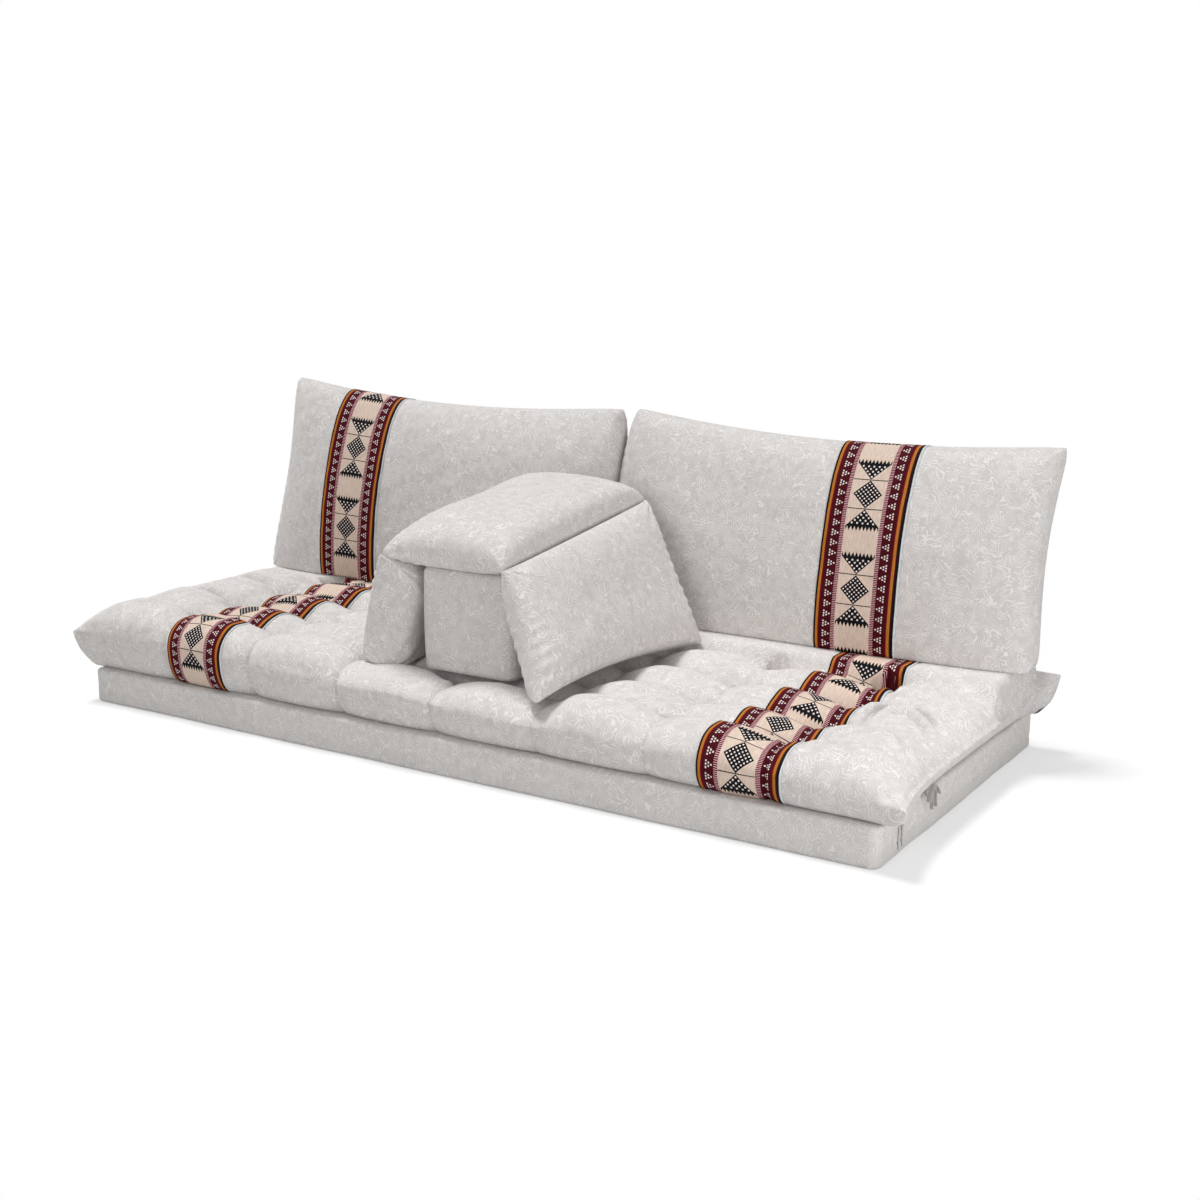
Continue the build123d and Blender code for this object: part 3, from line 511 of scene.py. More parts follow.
def full_share(x, width, bluntness):
    """Share of full thickness at x, for a form that thins to the sewn ends over a width."""
    inset = np.clip((SEAT_HALF - np.abs(x)) / width, 0, 1)
    return (1 - (1 - inset) ** bluntness) ** (1 / bluntness)


def seat_skin(x, turn):
    """Points of the upper cover: turn runs from 0 at the front seam to 1 at the rear one."""
    share = full_share(x, 0.150, 1.95)
    seam = SEAT_SEAM - SEAT_SEAM_TILT * x
    seam = seam + EAR_LIFT * smooth_step(x, 0.92, SEAT_HALF) * smooth_step(turn, 0.74, 1.0)
    walk = turn * (FLAT_SPAN + 2 * ROLL_WALK) - ROLL_WALK
    side = np.where(walk < 0, -1.0, 1.0)
    over = np.where(walk < 0, -walk, np.maximum(walk - FLAT_SPAN, 0)) / ROLL_WALK
    inner_y = np.clip(walk - FLAT_SPAN / 2, -FLAT_SPAN / 2, FLAT_SPAN / 2)
    sweep = np.clip(over, 0, 1) * math.pi / 2
    column = (x - TUFT_SHIFT) / TUFT_X
    tufted = 1 - smooth_step(np.abs(column) - TUFT_SIDE_COLUMNS, 0.08, 0.30)
    off_x = np.abs(column - np.round(column)) * TUFT_X
    pull = (0.012 * np.exp(-off_x / 0.034) + 0.006 * np.exp(-off_x / 0.005)) * tufted
    pull = pull * (0.75 + 0.25 * np.sin(5 * np.round(column)))
    y = inner_y + side * SEAT_ROLL * np.sin(sweep) ** 0.9
    by_roll = smooth_step(np.abs(inner_y), FLAT_SPAN / 2 - 0.03, FLAT_SPAN / 2)
    top = seat_top(x, inner_y) - 0.010 * by_roll * (1 - np.cos(sweep))
    z = seam + (top - seam) * np.cos(sweep) ** 0.8
    y = y - side * pull * np.sin(np.clip(sweep * 1.3, 0, math.pi / 2)) * (over > 0)
    z = seam + (z - seam) * share
    ends = smooth_step(np.abs(x), SEAT_HALF - 0.10, SEAT_HALF)
    y = y + side * (over > 0) * 0.006 * ends
    return y, z


def wrinkle(points, seed):
    """Small creases and sags of loose cloth over filling, in metres."""
    return ripple(points, 0.21, seed) * 0.0022 + ripple(points, 0.055, seed + 1) * 0.0007


def grid_shape(points, uv=None):
    """Sheet of quads through a rows by columns array of points, made from a plain grid."""
    rows, columns = points.shape[:2]
    shape = bmesh.new()
    layer = shape.loops.layers.uv.new("UVMap") if uv is not None else None
    bmesh.ops.create_grid(shape, x_segments=columns - 1, y_segments=rows - 1, size=1)
    places = []
    for vert in shape.verts:
        i = round((vert.co.y + 1) / 2 * (rows - 1))
        j = round((vert.co.x + 1) / 2 * (columns - 1))
        places.append((i, j))
    for vert, (i, j) in zip(shape.verts, places):
        vert.co = points[i, j]
    if layer is not None:
        shape.verts.index_update()
        for face in shape.faces:
            for loop in face.loops:
                i, j = places[loop.vert.index]
                loop[layer].uv = uv[i, j]
    return shape


def joined(shapes, weld=1e-5):
    """One bmesh of several, with their shared borders welded and faces turned outwards."""
    whole = bmesh.new()
    for shape in shapes:
        data = mesh_from(shape, "joining")
        whole.from_mesh(data)
        bpy.data.meshes.remove(data)
    bmesh.ops.remove_doubles(whole, verts=whole.verts, dist=weld)
    bmesh.ops.recalc_face_normals(whole, faces=whole.faces)
    return whole


def normals_of(points):
    """Unit normals of a grid of points, by their neighbours."""
    down = np.gradient(points, axis=0)
    over = np.gradient(points, axis=1)
    normal = np.cross(over, down)
    return normal / np.maximum(np.linalg.norm(normal, axis=-1, keepdims=True), 1e-12)


# Where the armrest block, the right and the left back cushion press on the mattress: the
# least and the greatest X, the least and the greatest Y, and the level of the cloth there.
SEAT_LOADS = (
    (-0.090, 0.156, -0.335, 0.150, 0.1931),
    (0.010, 1.040, 0.130, 0.420, 0.2074),
    (-1.040, -0.005, 0.100, 0.400, 0.2196),
)
LOAD_RIM = 0.045


def seat_x(count):
    """X stations, closer together at the tuft columns and towards the sewn ends."""
    rim = 0.012 * np.linspace(0, 1, 13) ** 2.4
    x = np.linspace(rim[-1] - SEAT_HALF, SEAT_HALF - rim[-1], count - 24)
    swing = 0.55 * TUFT_X / (2 * math.pi) * np.sin(2 * math.pi * (x - TUFT_SHIFT) / TUFT_X)
    x = x - swing * (1 - smooth_step(np.abs(x - TUFT_SHIFT), 0.80, 0.88))
    return np.concatenate([rim[:-1] - SEAT_HALF, x, (SEAT_HALF - rim[:-1])[::-1]])


def seat_turns(count):
    """Turns from the front seam to the rear one, closer together at the tuft rows."""
    even = np.linspace(0, 1, count)
    whole = FLAT_SPAN + 2 * ROLL_WALK
    y = even * whole - whole / 2
    swing = 0.5 * TUFT_Y / (2 * math.pi) * np.sin(2 * math.pi * (y - TUFT_FIRST) / TUFT_Y)
    return (y - swing * tufted_rows(y, 0.04) + whole / 2) / whole


def seat_points(xs, turns):
    """The upper cover as a grid of points, with its bowed ends, wrinkles, seam lip and loads."""
    x, turn = np.meshgrid(xs, turns)
    y, z = seat_skin(x, turn)
    bow = np.where(x > 0, SEAT_BOWS[1], SEAT_BOWS[0]) * (1 - (y / FRONT_REACH) ** 4)
    bow = bow * smooth_step(np.abs(x), SEAT_HALF - 0.2, SEAT_HALF)
    points = np.stack([x - np.sign(x) * bow, y, z], axis=-1)
    normal = normals_of(points)
    normal *= np.sign(normal[..., 2:3].mean())
    edge = np.minimum(turn, 1 - turn)
    calm = smooth_step(edge, 0.0, 0.02) * smooth_step(full_share(x, 0.142, 2.4), 0.3, 0.8)
    points = points + normal * (wrinkle(points, 11) * calm)[..., None]
    seam_z = points[:, [0, -1], 2][:, (np.sign(x[0]) > 0).astype(int)]
    lip = SEAM_LIP * np.exp(-((z - seam_z) / LIP_WIDTH) ** 2)
    lip = lip * smooth_step(np.abs(x), SEAT_HALF - 0.02, SEAT_HALF - 0.01)
    pleats = np.sin(points[..., 1] / 0.0062 + 2.0 * np.sin(points[..., 1] / 0.031))
    pleats = pleats * np.exp(-np.abs(z - seam_z) / 0.016)
    pleats = pleats * smooth_step(np.abs(x), SEAT_HALF - 0.05, SEAT_HALF - 0.01)
    points[..., 0] += np.sign(x) * (lip + 0.0011 * pleats * (np.abs(z - seam_z) > 1e-6))
    dimple = np.linalg.norm(points - np.array(EAR_DIMPLE), axis=-1)
    points = points - normal * (0.011 * np.exp(-(dimple / 0.011) ** 2))[..., None]
    for low_x, high_x, low_y, high_y, level in SEAT_LOADS:
        under = (points[..., 0] > low_x) & (points[..., 0] < high_x)
        under &= (points[..., 1] > low_y) & (points[..., 1] < high_y)
        points[..., 2] = np.where(under, np.minimum(points[..., 2], level), points[..., 2])
        if low_y < 0:
            continue
        foot = 1.0
        for place, low, high in ((points[..., 1], low_y, high_y), (points[..., 0], low_x, high_x)):
            foot = foot * smooth_step(place, low, low + LOAD_RIM)
            foot = foot * (1 - smooth_step(place, high - LOAD_RIM, high))
        by_band = np.min([np.abs(points[..., 0] - middle) for middle in MATTRESS_BANDS.values()], axis=0)
        by_band = by_band - MATTRESS_BAND_HALF
        bed = level - 0.0024 * (1 - smooth_step(by_band, 0.002, 0.012))
        points[..., 2] += (bed - points[..., 2]) * foot * (np.abs(z - seam_z) > 0.02)
    return points


stations = seat_x(501)
upper_points = seat_points(stations, seat_turns(261))
fullness = full_share(stations, 0.036, 1.8)


def tucked_under(seam_line, inward):
    """The lower cover from a long seam in to its foot on the base, row by row."""
    rows = []
    for share in np.linspace(0, 1, 9):
        sweep = share * math.pi / 2
        row = seam_line.copy()
        row[:, 1] += inward * (FRONT_REACH - FOOT_REACH) * fullness * (1 - math.cos(sweep))
        row[:, 2] += (MATTRESS_FLOOR - seam_line[:, 2]) * fullness * math.sin(sweep)
        rows.append(row)
    return np.array(rows)


def underside(front_foot, rear_foot):
    """The lower cover between its two feet, drawn up and out to the seams at the sewn ends."""
    rows = []
    order = np.argsort(upper_points[:, -1, 1])
    for share in np.linspace(0, 1, 41):
        row = front_foot * (1 - share) + rear_foot * share
        y = row[:, 1]
        for end, sign in ((0, -1), (-1, 1)):
            line = upper_points[order, end]
            beside = sign * stations > 0
            lift = (np.interp(y[end], line[:, 1], line[:, 2]) - row[end, 2]) * (1 - fullness) * beside
            row[:, 2] += lift
            draw = np.interp(y[end], line[:, 1], line[:, 0]) - row[end, 0] - sign * SEAM_LIP
            row[:, 0] += draw * smooth_step(sign * stations, SEAT_HALF - 0.15, SEAT_HALF - 0.02)
            lip = SEAM_LIP * np.exp(-((lift[end] - lift) / LIP_WIDTH) ** 2)
            row[:, 0] += sign * lip * (sign * stations > SEAT_HALF - 0.02)
        rows.append(row)
    return np.array(rows)


def covered(name, sheets, body, nodes):
    """A closed soft piece in the jacquard cover, sewn of several sheets of points."""
    data = mesh_from(joined([grid_shape(sheet) for sheet in sheets]), name)
    new_piece(name, data, body, cover_cloth, nodes)


front_under = tucked_under(upper_points[0], 1)
rear_under = tucked_under(upper_points[-1], -1)
middle_under = underside(front_under[-1], rear_under[-1])
covered("mattress_cover", (upper_points, front_under, middle_under, rear_under), "base_and_mattress",
        ("seat_cover_top", "seat_cover_bottom", "seat_core"))


# Tuft stitches. Two doubled strands of waxed thread hold the cover down in each pit, pulled
# tight through the whole mattress and knotted underneath.

STRAND_LENGTH, STRAND_THICKNESS = 0.013, 0.0016
STRAND_ARCH = 0.0022


def stitch_thread():
    """Twisted cotton thread, waxed, a little darker than the cloth."""
    material, tree, shader = start_material("stitch_thread")
    place = object_place(tree)
    x, y = outputs_of(tree, "ShaderNodeSeparateXYZ", {"Vector": place}, ("X", "Y"))
    twist = (((x + y * 0.6) * 900).fract() - 0.5).size() * 2
    shade = twist * 0.6 + noise(tree, place, 700.0, 2.0) * 0.4
    feed(tree, shader, "Base Color", shade.paint(srgb(182, 177, 172), srgb(222, 218, 213)))
    feed(tree, shader, "Roughness", 0.75 - twist * 0.15)
    relief(tree, shader, twist, 0.6, 0.0004)
    return material


def strand(angle, middle):
    """One doubled strand that arches over the cloth and dives in at both ends."""
    shape = bmesh.new()
    for side in (-1, 1):
        made = bmesh.ops.create_cone(shape, cap_ends=True, segments=8, radius1=STRAND_THICKNESS / 2,
                                     radius2=STRAND_THICKNESS / 2, depth=STRAND_LENGTH)
        bmesh.ops.rotate(shape, matrix=Matrix.Rotation(math.pi / 2, 3, "Y"), verts=made["verts"])
        bmesh.ops.translate(shape, vec=(0, side * STRAND_THICKNESS * 0.52, 0), verts=made["verts"])
    cut_in_steps(shape, 0, -STRAND_LENGTH / 2, STRAND_LENGTH / 2, 8)
    for vert in shape.verts:
        vert.co.z += STRAND_ARCH * (0.6 - (2 * vert.co.x / STRAND_LENGTH) ** 2)
    bmesh.ops.rotate(shape, matrix=Matrix.Rotation(angle, 3, "Z"), verts=shape.verts)
    bmesh.ops.translate(shape, vec=middle, verts=shape.verts)
    return shape


stitches = []
surface = upper_points[..., :2].reshape(-1, 2)
for column in range(-TUFT_SIDE_COLUMNS, TUFT_SIDE_COLUMNS + 1):
    for row in range(TUFT_ROWS):
        pit = np.array([TUFT_SHIFT + column * TUFT_X, TUFT_FIRST + row * TUFT_Y])
        near = np.argsort(np.hypot(*(surface - pit).T))[:24]
        level = upper_points[..., 2].reshape(-1)[near].max() + 0.0006
        if abs(pit[0] - MATTRESS_BANDS["right"]) < MATTRESS_BAND_HALF:
            level += 0.0022
        for angle in (0.5 + 0.7 * column, 2.1 + 0.7 * column):
            stitches.append(strand(angle, (*pit, level)))
new_piece("tuft_stitches", mesh_from(joined(stitches, 1e-7), "tuft_stitches"), "base_and_mattress",
          stitch_thread(), ("seat_tufts",))


# Ties. Narrow cotton ribbons sewn into the seams of base and mattress and knotted together at
# each end, so that the mattress stays put: a small bow, and two loose tails nearer the front.

TIE_WIDTH, TAIL_WIDTH, TIE_THICKNESS = 0.0085, 0.0042, 0.0007
TIE_WALL = BASE_SIZE[0] / 2 + 0.0006
BOW_Y, BOW_Z = -0.205, 0.096
BOW_OUT = 0.0125
KNOT_RADII = (0.0042, 0.0055)
TAIL_Y, TAIL_TOP, TAIL_DROP = (-0.318, -0.334), 0.086, 0.073


def uv_axes(tree):
    """The place on a piece's own map, and its distances across and along."""
    uv = add_node(tree, "ShaderNodeTexCoord", {}, {}, output="UV")
    return uv, *outputs_of(tree, "ShaderNodeSeparateXYZ", {"Vector": uv}, ("X", "Y"))


def tie_cloth():
    """Cotton ribbon: fine cross ribs and a firmer edge, slightly lilac grey, its grey darkened in part as
    painted shade of the bow's loops.
    """
    material, tree, shader = start_material("tie_cloth")
    uv, across, along = uv_axes(tree)
    rib = ((along * 900).fract() - 0.5).size() * 2
    rim = ((across - 0.5).size() * 2).ramp(0.70, 0.85)
    shade = rib * 0.35 + noise(tree, uv, 30.0, 3.0) * 0.5 + rim * 0.3
    # Both colours lie darker than the pale ribbon: partly its own grey, partly painted shade of the bow's
    # loops spread over the whole ribbon.
    feed(tree, shader, "Base Color", shade.paint(srgb(146, 141, 139), srgb(214, 209, 206)))
    shader.inputs["Roughness"].default_value = 0.8
    shader.inputs["Sheen Weight"].default_value = 0.2
    relief(tree, shader, rib + rim, 0.5, 0.0003)
    return material


def ribbon(end, path, width, turn=0.0):
    """A flat ribbon along a path of (out from the wall, y, z), with its width away from the wall.

    Turn lays it flat against the wall at 1 and edge on at 0."""
    path = np.array(path)
    steps = np.gradient(path, axis=0)
    steps /= np.linalg.norm(steps, axis=1, keepdims=True)
    flat = np.cross(steps, np.array([1.0, 0, 0]))
    flat /= np.maximum(np.linalg.norm(flat, axis=1, keepdims=True), 1e-9)
    over = np.array([1.0, 0, 0]) * (1 - turn) + flat * turn
    shares = np.linspace(-0.5, 0.5, 5)
    points = path[:, None] + shares[None, :, None] * width * over[:, None]
    points[..., 0] = end * (TIE_WALL + points[..., 0])
    along = np.concatenate([[0], np.cumsum(np.linalg.norm(np.diff(path, axis=0), axis=1))])
    return grid_shape(points, np.stack(np.meshgrid(shares + 0.5, along), axis=-1))


tie_weave = tie_cloth()
turns = np.linspace(0, 1, 33)
for end, side in ((-1, "left"), (1, "right")):
    ribbons = []
    for radius in KNOT_RADII:
        knot = [(BOW_OUT, BOW_Y + radius * math.cos(a), BOW_Z + radius * math.sin(a))
                for a in turns * 2 * math.pi]
        ribbons.append(ribbon(end, knot, TIE_WIDTH))
    for way in (-1, 1):
        loop = [(BOW_OUT + 0.003 * math.sin(math.pi * a),
                 BOW_Y + way * (0.003 + 0.021 * math.sin(math.pi * a) - 0.008 * math.sin(2 * math.pi * a)),
                 BOW_Z - 0.020 * math.sin(math.pi * a) ** 2 + 0.007 * math.sin(2 * math.pi * a))
                for a in turns]
        ribbons.append(ribbon(end, loop, TIE_WIDTH))
        tail = [(BOW_OUT + 0.002 * a, BOW_Y + way * (0.003 + 0.009 * a + 0.002 * math.sin(5 * a)),
                 BOW_Z - 0.042 * a) for a in turns]
        ribbons.append(ribbon(end, tail, TIE_WIDTH * 0.9))
    for far_out, far_z in ((0.008, 0.122), (0.0012, 0.074)):
        holder = [(BOW_OUT + (far_out - BOW_OUT) * a, BOW_Y + 0.002 * a, BOW_Z + (far_z - BOW_Z) * a)
                  for a in turns]
        ribbons.append(ribbon(end, holder, TIE_WIDTH * 0.9, turn=1.0))
    for y in TAIL_Y:
        hanging = [(0.0012 + 0.0012 * math.sin(6 * a), y + 0.0016 * math.sin(4 * a + 90 * y),
                    TAIL_TOP - TAIL_DROP * a) for a in turns]
        ribbons.append(ribbon(end, hanging, TAIL_WIDTH, turn=1.0))
    whole = joined(ribbons, 1e-7)
    bmesh.ops.solidify(whole, geom=whole.faces[:], thickness=TIE_THICKNESS)
    new_piece("ties_" + side + "_ribbon", mesh_from(whole, "ties_" + side), "base_and_mattress",
              tie_weave, ("ties_" + side,))


# Back cushions. Two long pillows of fibre in sewn covers that lean back on the mattress,
# each flat where it stands, with drawn-in seams, small ears and gathered cloth at them.

LEAN = math.radians(14.8)


def bluff(distance, span, bluntness):
    """Rise of a filled pillow from its seam: 0 at the seam, 1 at a span from it."""
    left = 1 - np.clip(distance / span, 0, 1)
    return (1 - left ** bluntness) ** (1 / bluntness)


def edge_stations(count):
    """Stations from 0 to 1 that lie closer together at both ends."""
    even = np.linspace(0, 1, count)
    return 0.5 * even + 0.5 * (1 - np.cos(even * math.pi)) / 2


def outline_patch(corner, draws, across, along):
    """Points of a four-sided patch whose sides draw in by parabolas, with its depths.

    The corners run counterclockwise from the one at 0, 0. The depths are how far each point
    lies in from each of the four sides."""
    s, t = np.meshgrid(across, along)

    def side_line(k):
        start, finish = corner[k], corner[(k + 1) % 4]
        way = finish - start
        length = np.hypot(*way)
        return start, way, length, np.array([-way[1], way[0]]) / length

    def side(k, share):
        start, way, length, inward = side_line(k)
        draw = draws[k] * length * (1 - (2 * share - 1) ** 2)
        return start + way * share[..., None] + inward * draw[..., None]

    foot, right, top, left = side(0, s), side(1, t), side(2, 1 - s), side(3, 1 - t)
    low_left, low_right, high_right, high_left = corner
    s3, t3 = s[..., None], t[..., None]
    flat = (1 - t3) * foot + t3 * top + (1 - s3) * left + s3 * right
    flat -= ((1 - s3) * (1 - t3) * low_left + s3 * (1 - t3) * low_right
             + s3 * t3 * high_right + (1 - s3) * t3 * high_left)
    depths = []
    for k in range(4):
        start, way, length, inward = side_line(k)
        off = flat - start
        share = np.clip((off @ way) / length ** 2, 0, 1)
        depths.append(np.maximum(off @ inward - draws[k] * length * (1 - (2 * share - 1) ** 2), 0))
    return flat, np.array(depths)


EAR_ROUNDING, SEAM_GROOVE, PILLOW_SWELL = 0.022, 0.0012, 0.003
PLEAT_PITCH, PLEAT_HEIGHT, PLEAT_REACH = 0.024, 0.0016, 0.020
EAR_PLEAT_HEIGHT, EAR_PLEAT_REACH = 0.0020, 0.045


def gathers(flat, depths, seed):
    """Short pleats that run in from the seams of a pillow, and longer ones at its ears."""
    draw = np.random.default_rng(seed)
    total = np.zeros(flat.shape[:-1])
    for k, depth in enumerate(depths):
        along = flat[..., k % 2]
        phase = draw.uniform(0, 6, 3)
        wander = 1.8 * np.sin(along / 0.047 + phase[1])
        wave = np.sin(2 * math.pi * along / PLEAT_PITCH + phase[0] + wander)
        patchy = 0.5 + 0.5 * np.sin(along / 0.071 + phase[2])
        total += PLEAT_HEIGHT * wave * patchy * np.exp(-depth / PLEAT_REACH) * (1 - np.exp(-depth / 0.003))
        beside = depths[(k + 1) % 4]
        radius = np.hypot(depth, beside)
        ear = np.cos(np.arctan2(depth, beside) * 13 + phase[1])
        ear = ear * np.exp(-radius / EAR_PLEAT_REACH) * (1 - np.exp(-radius / 0.02))
        total += EAR_PLEAT_HEIGHT * ear
    return total


def pillow_sides(corners, draws, crowns, plane, seed, counts, fullness=0.85, shape=None, ear=0.008,
                 pucker=1.0):
    """Upper and lower skins of a pillow in its own plane, which share their border.

    The plane is its origin, its two ways and its normal. Each crown is a height, the span or
    the four spans over which it rises from the seams, and how bluntly it does."""
    origin, x_axis, y_axis, normal = (np.array(v, dtype=float) for v in plane)
    corners = np.array(corners, dtype=float)
    flat, depths = outline_patch(corners, draws, edge_stations(counts[0]), edge_stations(counts[1]))
    nearest = depths.min(axis=0)
    middle = corners.mean(axis=0)
    for corner in corners:
        reach = np.linalg.norm(flat - corner, axis=-1, keepdims=True)
        inwards = (middle - corner) / np.linalg.norm(middle - corner)
        flat = flat + inwards * ear * np.exp(-reach / EAR_ROUNDING)
    skins = []
    for side, (crown, spans, bluntness) in zip((1, -1), crowns):
        rise = np.ones(flat.shape[:-1])
        for depth, span in zip(depths, spans if isinstance(spans, tuple) else (spans,) * 4):
            rise *= bluff(depth, span, bluntness)
        seam = SEAM_GROOVE * np.exp(-((nearest - 0.004) / 0.0025) ** 2)
        calm = 1 - np.exp(-nearest / 0.03)
        point = origin + flat[..., :1] * x_axis + flat[..., 1:] * y_axis
        extra = gathers(flat, depths, seed + side) * pucker - seam
        extra = extra + PILLOW_SWELL * ripple(point, 0.26, seed + 5 * side) * calm
        extra = extra + 0.0008 * ripple(point, 0.05, seed + 7 * side) * calm
        place, height = flat, crown * rise ** fullness + extra * (nearest > 0)
        if shape is not None:
            place, height = shape(side, flat, depths, height)
        point = origin + place[..., :1] * x_axis + place[..., 1:] * y_axis
        skins.append(point + (side * height)[..., None] * normal)
    skins[1][0], skins[1][-1] = skins[0][0], skins[0][-1]
    skins[1][:, 0], skins[1][:, -1] = skins[0][:, 0], skins[0][:, -1]
    return skins


def floor_at(points, level):
    """The same points, pressed flat on a level that they rest on."""
    points = points.copy()
    points[..., 2] = np.maximum(points[..., 2], level)
    return points


# Where the foot of each back cushion stands: its middle along the sofa, its depth, its level.
BACK_FEET = {"left": (-0.528, 0.243, 0.220), "right": (0.536, 0.278, 0.2078)}
BACK_HALF = 0.516
BACK_CROWN = (0.095, 0.245, 2.5)
ZIP_FOOT, ZIP_BED, ZIP_OFF = 0.190, 0.0937, 0.100
LEAN_UP = (0, math.sin(LEAN), math.cos(LEAN))


def cushion(side_name, left_ear, right_ear, draws, seed):
    """One back cushion, finished and riding on its body. Gives its front skin."""
    inner = 1 if side_name == "left" else -1
    plane = (BACK_FEET[side_name], (1, 0, 0), LEAN_UP, (0, -math.cos(LEAN), math.sin(LEAN)))
    corners = [(-BACK_HALF, 0.020), (BACK_HALF, 0.020), (BACK_HALF + 0.010 * (inner > 0), right_ear),
               (-BACK_HALF - 0.010 * (inner < 0), left_ear)]

    def sagged(side, flat, depths, height):
        """The foot of the pillow spreads and sits down on the mattress."""
        low = np.exp(-(depths[0] / 0.075) ** 1.5)
        full = smooth_step(height, 0.0, 0.035)
        place = flat.copy()
        place[..., 1] -= (0.050 * full + side * height * math.tan(LEAN)) * low
        if side < 0:
            by_zip = 1 - smooth_step(np.abs(flat[..., 0] - inner * ZIP_OFF), 0.228, 0.252)
            by_zip *= 1 - smooth_step(np.abs(flat[..., 1] - ZIP_FOOT), 0.015, 0.040)
            height = height + (ZIP_BED - height) * by_zip
        return place, height

    skins = pillow_sides(corners, draws, (BACK_CROWN, BACK_CROWN), plane, seed, (201, 121), shape=sagged)
    skins = [floor_at(skin, BACK_FEET[side_name][2]) for skin in skins]
    name = "back_cushion_" + side_name
    nodes = tuple("back_" + side_name + part for part in ("_cover_front", "_cover_rear", "_filling"))
    covered(name, skins, name, nodes)
    return skins[0]


back_fronts = {
    "left": cushion("left", 0.510, 0.480, (0.0, -0.030, 0.032, 0.07), 21),
    "right": cushion("right", 0.492, 0.468, (0.0, 0.05, 0.032, -0.030), 31),
}


# Zips. Nylon coil zips sewn into the rear of the base cover and of both cushion covers, each
# with a plated slider. Their shapes are the frame's own, and take these finishes.

BASE_ZIP_LEVEL = 0.058


def zip_tape_finish(name, up, middle):
    """Woven tape with a nylon coil along its middle, at a height along an upward direction."""
    material, tree, shader = start_material(name)
    place = object_place(tree)
    height = distance_along(tree, place, up) - middle
    along = outputs_of(tree, "ShaderNodeSeparateXYZ", {"Vector": place}, ("X",))[0]
    coil = height.size() < 0.0032
    turn = ((along / 0.0024 + height * 60).fract() - 0.5).size() * 2
    weave = ((along / 0.0009).fract() - 0.5).size() + ((height / 0.0011).fract() - 0.5).size()
    fuzz = noise(tree, place, 500.0, 2.0)
    tape = (weave * 0.7 + fuzz * 0.3).paint(srgb(176, 171, 167), srgb(208, 204, 200))
    nylon = turn.paint(srgb(150, 146, 143), srgb(226, 223, 219))
    feed(tree, shader, "Base Color", coil.paint(tape, nylon))
    feed(tree, shader, "Roughness", 0.85 - coil * 0.45)
    relief(tree, shader, weave * 0.3 + coil * turn, 0.7, 0.0006)
    return material


def slider_plate():
    """Nickel-plated slider, with fine scratches and dulled patches."""
    material, tree, shader = start_material("zip_slider_plate")
    place = object_place(tree)
    patch = noise(tree, place, 160.0, 3.0)
    drawn = add_node(tree, "ShaderNodeVectorMath", {"operation": "MULTIPLY"},
                     {0: place, 1: (60.0, 900.0, 900.0)})
    scratch = noise(tree, drawn, 4.0, 2.0)
    feed(tree, shader, "Base Color", patch.ramp(0.35, 0.7).paint(srgb(178, 176, 172), srgb(206, 204, 200)))
    shader.inputs["Metallic"].default_value = 1.0
    feed(tree, shader, "Roughness", patch * 0.2 + scratch * 0.25 + 0.12)
    relief(tree, shader, scratch, 0.25, 0.0002)
    return material


def finish_node(node, material):
    """Gives a piece of the frame its finish in every material slot."""
    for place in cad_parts[node].material_slots:
        place.material = material


plate = slider_plate()
finish_node("base_zip_tape", zip_tape_finish("base_zip_tape_weave", (0, 0, 1), BASE_ZIP_LEVEL))
finish_node("base_zip_slider", plate)
for side_name, (_, depth, level) in BACK_FEET.items():
    middle = depth * LEAN_UP[1] + level * LEAN_UP[2] + ZIP_FOOT
    finish_node("back_" + side_name + "_zip_tape",
                zip_tape_finish(side_name + "_zip_tape_weave", LEAN_UP, middle))
    finish_node("back_" + side_name + "_zip_slider", plate)


# Woven bands. Strips of a traditional weave sewn over the cloth: on each back cushion from
# its foot to its top seam, and twice across the mattress from front to rear.

BAND_MM = 187
BAND_LIFT, BAND_THICKNESS = 0.0011, 0.0016
BAND_COLUMNS = 45
BACK_BAND_HALF = 0.0935


def band_rows(skin, low_x, high_x, rows):
    """Points on a skin between two X places, row by row, lifted off it a little."""
    normal = normals_of(skin)
    places = np.linspace(low_x, high_x, BAND_COLUMNS)
    lines = []
    for i in rows:
        order = np.argsort(skin[i, :, 0])
        xs = skin[i, order, 0]
        line, up = (np.stack([np.interp(places, xs, field[i, order, k]) for k in range(3)], axis=-1)
                    for field in (skin, normal))
        up /= np.linalg.norm(up, axis=-1, keepdims=True)
        lines.append(line + up * BAND_LIFT)
    return np.array(lines)


def band(name, skin, middle, half, rows, body, node, outward, start):
    """A woven band on a skin, with UV across it from 0 to 1 and along it in metres.

    The start is the length along the weave at which this strip was cut."""
    points = band_rows(skin, middle - half, middle + half, rows)
    steps = np.linalg.norm(np.diff(points[:, BAND_COLUMNS // 2], axis=0), axis=-1)
    along = np.concatenate([[0], np.cumsum(steps)]) + start
    shape = grid_shape(points, np.stack(np.meshgrid(np.linspace(0, 1, BAND_COLUMNS), along), axis=-1))
    bmesh.ops.recalc_face_normals(shape, faces=shape.faces)
    shape.normal_update()
    mean = sum((f.normal * f.calc_area() for f in shape.faces), Vector())
    if mean.dot(Vector(outward)) < 0:
        bmesh.ops.reverse_faces(shape, faces=shape.faces)
    piece = new_piece(name, mesh_from(shape, name), body, band_weave, (node,))
    thick = piece.modifiers.new("thickness", "SOLIDIFY")
    thick.thickness = BAND_THICKNESS
    thick.offset = 0


